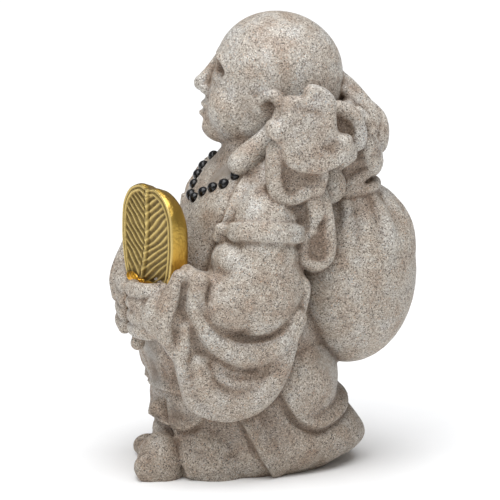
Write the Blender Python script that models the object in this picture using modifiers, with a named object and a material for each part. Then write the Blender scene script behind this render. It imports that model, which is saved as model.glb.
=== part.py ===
"""A stout laughing-monk figure, cast in one piece from sand-filled resin.

The monk stands and faces -Y. A tied sack hangs behind the left shoulder, and the left hand holds a
palm-leaf fan in front of the belly. The origin is on the flat underside, below the middle of the body.
"""

import math

import bmesh
import bpy
import numpy as np
from mathutils import Euler, Matrix, Vector
from mathutils.bvhtree import BVHTree

HEIGHT = 0.150  # underside to crown
UNIT = HEIGHT / 150  # free-form places and sizes are in these shares of the height

FAN_WIDTH = 31.5 * UNIT
FAN_HEIGHT = 42 * UNIT
FAN_THICKNESS = 6.8 * UNIT
BEAD_DIAMETER = 3.6 * UNIT

CLAY_GRAIN = 0.7 * UNIT  # voxel of the sculpture
FACETS = 9700  # triangles kept on the finished solid

LEFT_LOOK = (75, 14)  # azimuth and elevation that the left side is laid out from
RIGHT_LOOK = (-75, 14)
BACK_LOOK = (172, 4)


def smooth_line(points, closed=False, step=0.8):
    """Points along a Catmull-Rom curve through the given ones, about step apart in units."""
    points = [np.array(p, float) for p in points]
    count = len(points)
    spans = count if closed else count - 1
    line = []
    for i in range(spans):
        before = points[(i - 1) % count] if closed or i > 0 else 2 * points[0] - points[1]
        start, end = points[i], points[(i + 1) % count]
        if closed or i + 2 < count:
            after = points[(i + 2) % count]
        else:
            after = 2 * points[-1] - points[-2]
        pieces = max(2, math.ceil(np.linalg.norm((end - start)[:3]) / step))
        for t in np.arange(pieces) / pieces:
            line.append(
                0.5
                * (
                    2 * start
                    + (end - before) * t
                    + (2 * before - 5 * start + 4 * end - after) * t**2
                    + (3 * start - before - 3 * end + after) * t**3
                )
            )
    if not closed:
        line.append(points[-1])
    return line


def beside(x, across, up):
    """The (x, y, z) that lies at that x where the left look sees (across, up)."""
    right, above, _ = sight(LEFT_LOOK)
    y = (across - right.x * x) / right.y
    return x, y, (up - above.x * x - above.y * y) / above.z


def upright_plane(azimuth, distance):
    """A vertical plane that faces azimuth, that far from the axis: X runs to its right and Y up."""
    angle = math.radians(azimuth)
    across = Vector((math.cos(angle), math.sin(angle), 0))
    out = Vector((math.sin(angle), -math.cos(angle), 0))
    plane = Matrix((across, (0, 0, 1), out)).transposed().to_4x4()
    return Matrix.Translation(out * distance * UNIT) @ plane


def sighted(points, look, azimuth, distance):
    """Where the sight lines of (across, up) points from a look meet an upright plane, in units."""
    across, up, back = sight(look)
    out = sight((azimuth, 0))[2]
    spots = [across * u + up * v for u, v in points]
    return [spot + back * ((distance - spot.dot(out)) / back.dot(out)) for spot in spots]


def sight(look):
    """Unit vectors of a look from (azimuth, elevation): to its right, up, and back to the eye."""
    azimuth, elevation = (math.radians(a) for a in look)
    level = math.cos(elevation)
    across = Vector((math.cos(azimuth), math.sin(azimuth), 0))
    back = Vector((math.sin(azimuth) * level, -math.cos(azimuth) * level, math.sin(elevation)))
    return across, back.cross(across), back


class Clay:
    """Lumps, rolls and slabs pressed together. Places are in units, inside the current frame."""

    def __init__(self):
        self.shape = bmesh.new()
        self.frame = Matrix.Identity(4)
        egg = bmesh.new()
        bmesh.ops.create_uvsphere(egg, u_segments=40, v_segments=20, radius=1)
        self.egg = bpy.data.meshes.new("egg")
        egg.to_mesh(self.egg)
        egg.free()

    def add_mesh(self, mesh, place):
        mesh.transform(place)
        self.shape.from_mesh(mesh)
        bpy.data.meshes.remove(mesh)

    def ball(self, centre, radii, turn=(0, 0, 0)):
        """An egg-shaped lump, turned in degrees about X, Y and Z."""
        turned = Euler([math.radians(a) for a in turn]).to_matrix().to_4x4()
        size = Matrix.Diagonal((*(Vector(radii) * UNIT), 1))
        place = self.frame @ Matrix.Translation(Vector(centre) * UNIT) @ turned @ size
        self.add_mesh(self.egg.copy(), place)

    def add_curve(self, data, place):
        """Takes in the solid that a curve makes."""
        helper = bpy.data.objects.new("helper", data)
        bpy.context.scene.collection.objects.link(helper)
        bpy.context.view_layer.update()
        solid = bpy.data.meshes.new_from_object(
            helper.evaluated_get(bpy.context.evaluated_depsgraph_get())
        )
        bpy.data.objects.remove(helper)
        bpy.data.curves.remove(data)
        self.add_mesh(solid, place)

    def roll(self, points):
        """A round roll through (x, y, z, radius) points, with domed ends."""
        line = smooth_line(points)
        data = bpy.data.curves.new("roll", "CURVE")
        data.dimensions = "3D"
        data.bevel_depth = UNIT
        data.bevel_resolution = 4
        data.use_fill_caps = True
        spline = data.splines.new("POLY")
        spline.points.add(len(line) - 1)
        for knot, (x, y, z, radius) in zip(spline.points, line):
            knot.co = (x * UNIT, y * UNIT, z * UNIT, 1)
            knot.radius = radius
        self.add_curve(data, self.frame)
        for x, y, z, radius in (points[0], points[-1]):
            self.ball((x, y, z), (radius, radius, radius))

    def slab(self, outline, plane, thickness, edge=1.5):
        """A flat slab with rounded edges, whose outer face lies in the plane."""
        line = smooth_line(outline, closed=True)
        data = bpy.data.curves.new("slab", "CURVE")
        data.dimensions = "2D"
        data.fill_mode = "BOTH"
        edge = min(edge, 0.45 * thickness)
        data.extrude = (thickness / 2 - edge) * UNIT
        data.bevel_depth = edge * UNIT
        data.offset = -edge * UNIT
        data.bevel_resolution = 3
        spline = data.splines.new("POLY")
        spline.points.add(len(line) - 1)
        for knot, (across, up) in zip(spline.points, line):
            knot.co = (across * UNIT, up * UNIT, 0, 1)
        spline.use_cyclic_u = True
        self.add_curve(data, plane @ Matrix.Translation((0, 0, -thickness / 2 * UNIT)))

    def flap(self, outline, look, azimuth, distance, thickness, edge=1.5):
        """A slab whose outline is sighted from a look on to an upright plane."""
        plane = upright_plane(azimuth, distance)
        along = plane.col[0].to_3d()
        spots = sighted(outline, look, azimuth, distance)
        self.slab([(spot.dot(along), spot.z) for spot in spots], plane, thickness, edge)

    def rim(self, points, look, azimuth, distance):
        """A roll of cloth through (across, up, radius) points, its outer side in an upright plane."""
        line = []
        for u, v, radius in points:
            line.append((*sighted([(u, v)], look, azimuth, distance - radius)[0], radius))
        self.roll(line)

    def stack(self, levels, sides=72):
        """A loft through level ellipses (z, x, y, x radius, y radius), closed top and bottom."""
        rings = []
        for z, x, y, x_radius, y_radius in smooth_line(levels, step=2):
            ring = []
            for i in range(sides):
                turn = 2 * math.pi * i / sides
                spot = (x + x_radius * math.cos(turn), y + y_radius * math.sin(turn), z)
                ring.append(self.shape.verts.new(self.frame @ (Vector(spot) * UNIT)))
            rings.append(ring)
        for lower, upper in zip(rings, rings[1:]):
            for i in range(sides):
                j = (i + 1) % sides
                self.shape.faces.new((lower[i], lower[j], upper[j], upper[i]))
        self.shape.faces.new(reversed(rings[0]))
        self.shape.faces.new(rings[-1])

    def fused(self, name, grain, smoothing):
        """One closed mesh of all that was pressed together."""
        mesh = bpy.data.meshes.new(name)
        self.shape.to_mesh(mesh)
        self.shape.free()
        return remeshed(mesh, name, grain, smoothing)


def remeshed(mesh, name, grain, smoothing):
    """The mesh's outer skin in even faces of the grain's size, smoothed."""
    helper = bpy.data.objects.new(name, mesh)
    bpy.context.scene.collection.objects.link(helper)
    fuse = helper.modifiers.new("fuse", "REMESH")
    fuse.mode = "VOXEL"
    fuse.voxel_size = grain
    soften = helper.modifiers.new("soften", "SMOOTH")
    soften.factor = 0.5
    soften.iterations = smoothing
    bpy.context.view_layer.update()
    done = bpy.data.meshes.new_from_object(
        helper.evaluated_get(bpy.context.evaluated_depsgraph_get())
    )
    bpy.data.objects.remove(helper)
    return done


class Carving:
    """Tool strokes on a mesh. Widths and depths are in units."""

    def __init__(self, mesh):
        self.mesh = mesh
        spots = np.empty(len(mesh.vertices) * 3, np.float32)
        mesh.vertices.foreach_get("co", spots)
        self.spots = spots.reshape(-1, 3) / UNIT
        self.look_again()

    def look_again(self):
        """Takes the strokes so far into the surface that later ones are sighted on."""
        self.finished()
        self.out = np.empty(self.spots.size, np.float32)
        self.mesh.vertex_normals.foreach_get("vector", self.out)
        self.out = self.out.reshape(-1, 3)
        self.skin = BVHTree.FromPolygons(
            self.spots.tolist(), [tuple(face.vertices) for face in self.mesh.polygons]
        )

    def seen_from(self, look, points, step=0.5):
        """The surface points met when (across, up) points are sighted from that look."""
        across, up, back = sight(look)
        met = []
        for u, v in smooth_line(points, step=step):
            spot = self.skin.ray_cast(across * u + up * v + back * 300, -back)[0]
            if spot is not None:
                met.append(spot)
        return np.array(met)

    def met_round(self, points, step=0.5):
        """The surface points met when (azimuth, z) points are sighted level, towards the axis."""
        met = []
        for azimuth, z in smooth_line([(a * 0.5, z) for a, z in points], step=step):
            out = sight((azimuth * 2, 0))[2]
            spot = self.skin.ray_cast(Vector((0, 0, z)) + out * 300, -out)[0]
            if spot is not None:
                met.append(spot)
        return np.array(met)

    def near(self, path, width):
        """Indices, distances and nearest path point of the vertices within width of the path."""
        low, high = path.min(0) - width, path.max(0) + width
        close = np.flatnonzero(((self.spots > low) & (self.spots < high)).all(1))
        gaps = np.linalg.norm(self.spots[close][:, None] - path[None], axis=2)
        nearest = gaps.argmin(1)
        gap = gaps[np.arange(len(close)), nearest]
        inside = gap < width
        return close[inside], gap[inside], nearest[inside]

    def press(self, path, width, depth, taper=0.25, sharp=False):
        """A round-bottomed groove along the path, or a sharp crease between two rounded sides."""
        spots, gap, nearest = self.near(path, width)
        share = nearest / max(1, len(path) - 1)
        fade = np.clip(np.minimum(share, 1 - share) / taper, 0, 1) if taper else 1
        inward = 1 - gap / width
        profile = inward**2 if sharp else (inward * (2 - inward)) ** 2
        self.spots[spots] -= (depth * profile * fade)[:, None] * self.out[spots]

    def lap(self, path, width, height, lip=1.5, taper=0.15):
        """An edge of cloth: the surface swells towards the path from its left and drops off there."""
        spots, gap, nearest = self.near(path, width)
        tangent = np.gradient(path, axis=0)[nearest]
        side = np.cross(self.out[spots], tangent)
        side /= np.linalg.norm(side, axis=1)[:, None] + 1e-9
        away = ((self.spots[spots] - path[nearest]) * side).sum(1)
        share = nearest / max(1, len(path) - 1)
        fade = np.clip(np.minimum(share, 1 - share) / taper, 0, 1) if taper else 1
        swell = (1 - np.clip(gap / width, 0, 1)) ** 1.5
        edge = np.clip(away / lip + 0.5, 0, 1)
        sink = -0.35 * np.exp(-(((away + lip) / lip) ** 2)) * (gap < 3 * lip)
        self.spots[spots] += (height * (swell * edge + sink) * fade)[:, None] * self.out[spots]

    def strip(self, path, half_width, height, lip=1):
        """A raised flat strip along the path."""
        spots, gap, nearest = self.near(path, half_width + lip)
        rise = height * np.clip((half_width + lip / 2 - gap) / lip, 0, 1)
        self.spots[spots] += rise[:, None] * self.out[spots]

    def finished(self):
        self.mesh.vertices.foreach_set("co", (self.spots * UNIT).astype(np.float32).ravel())
        self.mesh.update()
        return self.mesh


HEAD_PLACE = (-4, 7.5, 126)
HEAD_TURN = (-15, 0, -20)  # chin lifted, face turned to the figure's right


def mirrored(points):
    """The same stroke on the other side, run backwards so that its left stays its left."""
    return [(-across, *rest) for across, *rest in reversed(points)]


def add_body(clay):
    """Robe, chest and belly, as one stack of level ellipses from below the ground to the neck."""
    clay.stack(
        [
            (-3, 0, -2, 20, 27),
            (0, 0, -1, 21.5, 28.5),
            (2, 0, 0, 23.5, 31),
            (5, 0, 2, 25.5, 34),
            (9, 0, 3, 26.5, 35.6),
            (14, 0, 2, 26.5, 34),
            (20, 0, 0, 27, 31.6),
            (25, 0, -2, 27.5, 30.6),
            (30, 0, -3, 27.8, 30.6),
            (40, 0, -4.5, 28.2, 32.5),
            (50, 0, -5.5, 28.5, 32),
            (60, 0, -5.6, 26, 28.6),
            (70, 0, -5, 23.5, 24.6),
            (80, 0, -3.6, 24.5, 20.6),
            (88, 0, -2.6, 27.5, 18),
            (92, 0, -2, 27.5, 16.5),
            (95, 0, -1.2, 26, 15.1),
            (98.5, 0, 0, 22.5, 13.4),
            (101, 0, 0.4, 19, 11.8),
            (105, 0, 0.6, 13.5, 9.8),
            (112, -2, 2, 11, 10),
        ]
    )
    clay.ball((0, -15, 56), (20, 21.5, 16.5))  # belly
    clay.ball((6, -32.2, 21.7), (2.6, 2.6, 2.6))  # knotted end of the tie
    for side in (-1, 1):
        clay.ball((side * 10, -6.5, 83), (12, 10, 9))  # chest
        clay.ball((side * 8, 7, 31), (20.8, 20, 21))  # the robe blouses at the back
        clay.ball((side * 12, -15.5, 6), (12.5, 12.5, 16))  # front corner of the skirt
        clay.roll([(side * 15, 4, 93, 9), (side * 22, 3, 90, 10)])  # shoulder


def carve_body(carving):
    """The open robe, its tie and its hems. Azimuths are degrees round the figure from the front."""
    lapel = [(68, 101), (61, 94.5), (57, 89), (52, 82), (45, 70), (40, 58), (22, 51), (0, 48.5)]
    for points in (lapel, mirrored(lapel)):
        carving.lap(carving.met_round(points), 9, 2, lip=1, taper=0.06)
    carving.look_again()
    for side in (-1, 1):
        for turn in (4, 12, 20, 27, 34):
            fold = [(side * turn, 41), (side * (turn + 0.5), 36), (side * (turn + 1), 30)]
            carving.press(carving.met_round(fold), 1.9, 0.9, taper=0.4, sharp=True)
    hem = [(75, 29), (35, 28.7), (15, 28.7), (0, 30)]
    carving.lap(carving.met_round(mirrored(hem) + hem[-2::-1]), 6, 2.2, lip=0.9)
    pouch = [
        (93, 33), (102, 24.5), (113, 18.6), (125, 15.8), (142, 17), (158, 19), (170, 20.6), (180, 21.5),
    ]
    back = [(360 - azimuth, z) for azimuth, z in pouch[-2::-1]]
    carving.lap(carving.met_round(pouch + back), 9, 2.4, lip=1.1, taper=0.08)
    carving.press(carving.met_round(pouch + back), 3.4, 1, taper=0.08, sharp=True)
    carving.look_again()
    swag = [(17, 26.5), (17, 22.4), (21, 17.4), (31, 16), (40, 18.9), (44, 24)]
    for points in (swag, mirrored(swag), [(a - 30, z + 1) for a, z in swag]):
        carving.lap(carving.met_round(points), 5, 1.5, lip=0.9)
        carving.press(carving.met_round(points), 2.4, 0.9, sharp=True)
    front = [(0, 16.5), (12, 16.5), (21, 15.4), (28, 10), (34, 4), (38, 0)]
    panel = [(69, 21), (76, 14), (84, 7), (96, -1)]
    for points in (front, mirrored(front), panel, mirrored(panel)):
        carving.lap(carving.met_round(points), 7, 2.4, lip=0.9, taper=0.05)
    sag = [(36, 11), (48, 8.5), (58, 8.3), (67, 10.5)]
    for points in (sag, mirrored(sag)):
        carving.press(carving.met_round(points), 3.6, 1.1, sharp=True)
    for turn in (130, 152, 175, 200, 223):
        fold = [(turn, 11), (turn + 1, 4), (turn + 2, -1)]
        carving.press(carving.met_round(fold), 3.6, 0.9, taper=0.5)
    carving.press(carving.met_round([(-2, 56), (2, 56)]), 2, 2, taper=0)  # navel
    carving.press(carving.met_round([(-20, 78), (-8, 76), (0, 77), (8, 76), (20, 78)]), 3, 1.2)


def add_feet(clay):
    """Round, plump feet with their toes side by side, the big toe inward."""
    for x, y, toe_y, tall in ((11.5, -33.4, -37.2, 1), (-11.5, -22.5, -29.4, 0.75)):
        clay.ball((x, y, 4.5 * tall), (8.3, 7.7, 10.2 * tall))
        for toe in range(5):
            across = math.copysign(5.8 - 2.7 * toe, x)
            size = 0.3 * toe
            spot = (x + across, toe_y - size, (3 + size) * tall)
            clay.ball(spot, (1.7 + 0.5 * size, 4.6 + 0.2 * size, (4 + size) * tall))


def head():
    """The head, its chin lifted and its face turned to the figure's right, as its own sculpture."""
    clay = Clay()
    clay.frame = Matrix.Translation(Vector(HEAD_PLACE) * UNIT) @ Euler(
        [math.radians(a) for a in HEAD_TURN]
    ).to_matrix().to_4x4()
    clay.ball((0, 2, 5.5), (19.6, 21, 18.9))
    clay.ball((0, 6, 2), (18.5, 17.6, 17.6))
    clay.ball((0, 0, -2), (18.4, 18.8, 17.5))
    clay.ball((0, -2.5, -8), (17, 16.6, 17))
    clay.ball((0, -11.3, -17.5), (8.5, 7, 6))
    clay.roll([(-5.5, -15.8, -12.4, 1.4), (0, -18.4, -13, 1.7), (5.5, -15.8, -12.4, 1.4)])
    clay.roll([(-4, -16, -15, 1.4), (0, -18, -15.6, 1.8), (4, -16, -15, 1.4)])
    clay.roll([(0, -18.2, 3.5, 1.5), (0, -19.8, -1.5, 1.8), (0, -21.2, -6, 2.7)])
    for side in (-1, 1):
        clay.ball((side * 7.5, -7.7, -8.8), (9.5, 9.8, 9.3))
        clay.ball((side * 2.6, -19.4, -7.2), (2, 2, 1.7))
        brow = [(2.6, -18.5, 4.6, 1.1), (7, -17.6, 5.6, 1.3), (11.5, -14.8, 3.8, 1)]
        rim_and_lobe = [
            (16.5, 0, -6.5, 1.6),
            (17.5, -0.5, -2, 1.9),
            (19, 2.5, 1, 2.1),
            (20, 6.2, -1, 2.3),
            (19.5, 6.4, -6, 2.4),
            (19.5, 4.8, -11.5, 3),
            (20.5, 2.4, -16.5, 3.8),
            (21.5, 0, -20.5, 4.4),
            (22.3, -1.8, -23, 4),
        ]
        for line in (brow, rim_and_lobe):
            clay.roll([(side * x, y, z, radius) for x, y, z, radius in line])
    carving = Carving(clay.fused("head", CLAY_GRAIN, 3))
    look = (HEAD_TURN[2], -HEAD_TURN[0])
    across, up, _ = sight(look)
    u, v = across.dot(Vector(HEAD_PLACE)), up.dot(Vector(HEAD_PLACE))
    socket = [(3.8, 1), (7.4, 1.4), (11, 0.4)]
    lid = [(4.4, -0.9), (7.4, -0.5), (10.4, -1.3)]
    lashes = [(3.8, -1.9), (7.2, -2.7), (11, -1.9)]
    cheek = [(3.8, -7.4), (6.2, -10.4), (7.6, -14)]
    strokes = []
    for turned in (list, mirrored):
        strokes += [
            (turned(socket), 4.2, 1.9),
            (turned(lid), 2.8, -1.4),
            (turned(lashes), 1.2, 0.8),
            (turned(cheek), 2.6, 0.8),
        ]
    strokes.append(([(-6.2, -12.7), (-3, -13.9), (0, -14), (3, -13.9), (6.2, -12.7)], 1.5, 1.1))
    strokes.append(([(-3.5, -17.4), (0, -18), (3.5, -17.4)], 2.6, 0.9))
    for points, width, depth in strokes:
        carving.press(carving.seen_from(look, [(u + x, v + z) for x, z in points]), width, depth)
    return carving.finished()


def add_string(clay, carving):
    """The string of beads lies on the robe. The beads themselves are finer than this solid."""
    half = [
        (66, 101.4), (58, 100), (50, 97.8), (38, 96), (27, 94.8), (18, 93.2), (9, 91.4), (0, 89.4),
    ]
    path = carving.met_round(half + mirrored(half[:-1]), step=2)
    clay.roll([(*spot, BEAD_DIAMETER / UNIT / 2 - 0.3) for spot in path])


def add_sleeves(clay):
    """Both sleeves hang from the forearms. Only the left one is seen, and the right one mirrors it."""
    sleeve = [
        (-21.6, 60.9),
        (-26, 50),
        (-28.6, 42),
        (-26.3, 35),
        (-23.4, 31),
        (-21.6, 23.7),
        (-19, 16.2),
        (-10, 12.6),
        (-2, 13.3),
        (5.6, 18.7),
        (13.7, 34.1),
        (17.6, 44.5),
        (20, 58),
        (10, 62),
        (-6, 60),
        (-14, 60.4),
        (-18.4, 62.6),
    ]
    cuff = [(-22.6, 60, 3), (-24.4, 55.4, 3.4), (-26.6, 50.6, 3.5), (-28, 45.6, 3.2), (-27.4, 40.6, 2.8)]
    wrist = [(-21.4, 44.6, 2.4), (-21.6, 39.6, 2.8), (-22, 34.6, 2.8), (-21.4, 29.6, 2.4)]
    fold = [
        (-16.4, 59, 3.2), (-17.6, 54.6, 3.6), (-16.8, 49.4, 3.9), (-13.8, 43.8, 4.6), (-9, 39, 5.4),
        (-2, 36.4, 5.9), (5.4, 37.4, 5.7), (11, 41, 5), (14.8, 47, 3.8),
    ]
    drape = [
        (-16.6, 32, 3.8), (-14.8, 25.6, 5), (-10, 21, 6.2), (-3, 20.4, 6.6), (3.2, 24, 6.2),
        (8.2, 30.6, 5.2), (11.8, 38, 3.8),
    ]
    between = [(-12, 30.6, 3.6), (-6.6, 27.6, 5), (0, 27, 5.4), (5.4, 30.4, 4.6), (9.4, 36, 3.4)]
    for look, side in ((LEFT_LOOK, 1), (RIGHT_LOOK, -1)):
        turned = list if side > 0 else mirrored
        arm = [
            (17, 1, 95, 8),
            (24, -1, 88, 11),
            (27, -3, 75, 12),
            (27, -8, 65, 13),
            (25, -20, 60, 10.5),
            (22, -29, 60, 7.5),
        ]
        clay.roll([(side * x, y, z, radius) for x, y, z, radius in arm])
        clay.ball((side * 25, -3.9, 65.2), (14.8, 15.4, 18.6))
        clay.ball((side * 25, -9, 74.4), (11, 10.5, 8))
        facing = look[0] + side * 12
        clay.flap(turned(sleeve), look, facing, 33, 11, 2.6)
        for line, distance in (
            (cuff, 34.6), (wrist, 34.2), (fold, 36.8), (between, 34.8), (drape, 35.8),
        ):
            clay.rim(turned(line), look, facing, distance)


def carve_sleeves(carving):
    """Cloth edges and creases: round the figure in (azimuth, z), or sighted from the side."""
    elbow = [
        (-15.4, 61), (-16.8, 56.7), (-16, 51.8), (-13.8, 47), (-9.6, 42.4), (-2, 39.8), (5.6, 40.8),
        (11.6, 44.3), (16, 50.9), (18.4, 58),
    ]
    below = [
        (-18.6, 45), (-17.4, 38), (-12.6, 31.4), (-6.4, 28.2), (0, 27.2), (5.4, 28.6), (10.4, 32.4),
        (13, 37),
    ]
    hollow = [(-21.2, 60.5), (-21.6, 56), (-22.3, 51), (-22.2, 46.5), (-20.6, 43)]
    branch = [(-23.4, 46.4), (-24, 42), (-24.2, 37.4)]
    near_edge = [(-19.2, 37), (-19.4, 31.5), (-20.2, 27)]
    edge = [(19, 58), (15.8, 44.5), (11.5, 33), (7, 24)]
    inner = [(-9.6, 71.4), (-11.8, 66.8), (-12.8, 63)]
    for look, turned in ((LEFT_LOOK, list), (RIGHT_LOOK, mirrored)):
        for points, width, depth, taper in (
            (elbow, 2.6, 0.9, 0.2),
            (below, 3, 0.9, 0.25),
            (hollow, 3, 1.3, 0.2),
            (branch, 2.6, 0.9, 0.4),
            (near_edge, 2.4, 0.7, 0.4),
            (edge, 2.4, 0.6, 0.2),
            (inner, 3.4, 1.1, 0.4),
        ):
            carving.press(carving.seen_from(look, turned(points)), width, depth, taper, sharp=True)
        carving.look_again()
    strap = [(-9.8, 74.4), (-4, 75), (2, 75), (9, 74.7), (15.5, 74.2)]
    path = np.concatenate(
        [
            carving.seen_from(LEFT_LOOK, strap),
            carving.met_round([(124, 80.6), (180, 80.5), (236, 80.6)]),
            carving.seen_from(RIGHT_LOOK, mirrored(strap)),
        ]
    )
    carving.press(path - np.array([0, 0, 4]), 3, 1.2, taper=0.02, sharp=True)
    carving.strip(path, 3, 2, lip=0.8)


def add_left_hand(clay):
    """A chubby fist round the fan's handle. Its back is one soft lump, and its knuckles show in front."""
    clay.ball((22.6, -33.8, 57), (8.8, 8.6, 9))
    clay.ball((17.5, -36.5, 56.6), (7, 7.2, 8.2))
    clay.ball((23.4, -31, 63.6), (4.4, 4.4, 5))
    clay.ball((25, -37, 58.6), (4, 4.6, 5), (0, 0, 25))
    clay.ball((25.6, -31.5, 52.4), (4.6, 5, 5.4))
    for finger in range(4):
        z = 64.9 - 4.6 * finger
        knuckle = (19.5, -40, z - 0.3, 2.7)
        joint = (13, -43 + 0.4 * finger, z - 0.8, 2.6)
        clay.roll([(21, -35, z, 2.7), knuckle, joint, (8.5, -41.6, z - 1, 2.3)])
    clay.roll([(20.5, -31.5, 65.6, 3), (15, -33.8, 67.4, 2.4), (10, -35, 67.2, 2.1)])
    clay.roll([(10, -39.4, 52, 1.8), (10, -40.6, 45, 2.4)])  # the end of the handle


def add_right_hand(clay):
    """Out of sight in the photo, so it is made to rest on the belly."""
    clay.ball((-17, -33, 56), (7.5, 6.5, 8))
    for finger in range(4):
        z = 62.5 - 4.5 * finger
        clay.roll([(-18, -37, z, 2.5), (-11.5, -40.3, z - 1, 2.5), (-5.5, -41, z - 2.5, 2.2)])
    clay.roll([(-19, -33, 63, 2.6), (-14.5, -36, 67, 2.4), (-11.5, -37, 69.5, 2.1)])


def fan_plane():
    return upright_plane(18, 39.2) @ Matrix.Translation((-1.4 * UNIT, 77.3 * UNIT, 0))


def fan_outline():
    """The palm leaf: an egg with a shallow dip at its tip, as (across, up) from its middle."""
    half = [
        (0, -21), (7.4, -19), (13, -11), (15.2, -2), (15.5, 6), (14.6, 12.6), (10.8, 18.2), (4.8, 20.9),
        (0, 20.2),
    ]
    wide, tall = FAN_WIDTH / UNIT / 31, FAN_HEIGHT / UNIT / 42
    right = [(wide * x, tall * z) for x, z in half]
    return right + [(-x, z) for x, z in reversed(right[1:-1])]


def add_fan(clay):
    """The leaf's back sits lower than its face, so its top edge slopes away."""
    slope = Matrix.Identity(4)
    slope[1][2] = 0.4
    clay.slab(fan_outline(), fan_plane() @ slope, FAN_THICKNESS / UNIT, 2)


def sack():
    """The full sack, gathered under its tie, as its own sculpture."""
    clay = Clay()
    clay.ball((6, 31, 64.4), (24, 23, 31))
    clay.ball((8, 33, 73), (21, 20.5, 22))
    clay.roll([(9, 30, 84, 15), (10, 30, 92, 10), (11, 28.5, 98, 8.5)])
    carving = Carving(clay.fused("sack", CLAY_GRAIN, 3))
    for pleat in (
        [(28.6, 90), (28.8, 82), (28.6, 74)],
        [(32.4, 90), (34.4, 82), (35.6, 72), (35.4, 62)],
        [(36.4, 90), (40.2, 83), (43, 74), (44, 65)],
        [(39.6, 91), (45, 84.6), (49, 76), (51, 67)],
    ):
        carving.press(carving.seen_from(LEFT_LOOK, pleat), 4.2, 2.3, taper=0.7, sharp=True)
    for turn in range(140, 410, 20):
        out = sight((turn, 0))[2]
        length = 20 + 5 * math.sin(turn * 1.3)
        crease = []
        for share in np.linspace(0, 1, 24):
            start = Vector((10 - 4 * share, 30.5, 95 - length * share)) + out * 100
            crease.append(carving.skin.ray_cast(start, -out)[0])
        carving.press(np.array(crease), 4.2, 2.3, taper=0.7, sharp=True)
    return carving.finished()


def mouth():
    """The sack's ties, its ruffled mouth above them and the tie's tail below."""
    clay = Clay()
    clay.roll([(11, 29, 92, 9), (12, 27.5, 98, 8), (13, 25, 105, 9.5), (14, 22, 110, 10)])
    for z, tilt, reach, radius in ((93.8, 0.8, 9.8, 1.8), (97.2, 3.8, 8.4, 2.2)):
        ring = []
        for i in range(13):
            turn = math.radians(30 * i - 10)
            x, y = 11 + reach * math.cos(turn), 29.5 + reach * math.sin(turn)
            ring.append((x, y, z + tilt * math.sin(turn), radius))
        clay.roll(ring)
    add_ruffles(clay)
    add_tails(clay)
    carving = Carving(clay.fused("mouth", CLAY_GRAIN, 2))
    for points, width, depth in (
        ([(29.4, 105.6), (27, 103.4), (25.4, 100.4)], 3.4, 1.1),
        ([(13, 115.6), (18, 114.4), (23.6, 112.4)], 3, 0.7),
        ([(20.6, 119.6), (22, 118.4), (24, 118)], 1.9, 0.7),
        ([(16.6, 97), (19.4, 96), (22, 96.6)], 2.6, 0.5),
    ):
        carving.press(carving.seen_from(LEFT_LOOK, points), width, depth)
    for tip in ((-26, 108), (-19, 117), (-10, 124), (-1, 127), (6, 123)):
        crease = [(-11, 100), (0.5 * (tip[0] - 12), 0.5 * (tip[1] + 101)), tip]
        carving.press(carving.seen_from(BACK_LOOK, crease), 2.8, 1.7, taper=0.1, sharp=True)
    return carving.finished()


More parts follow.
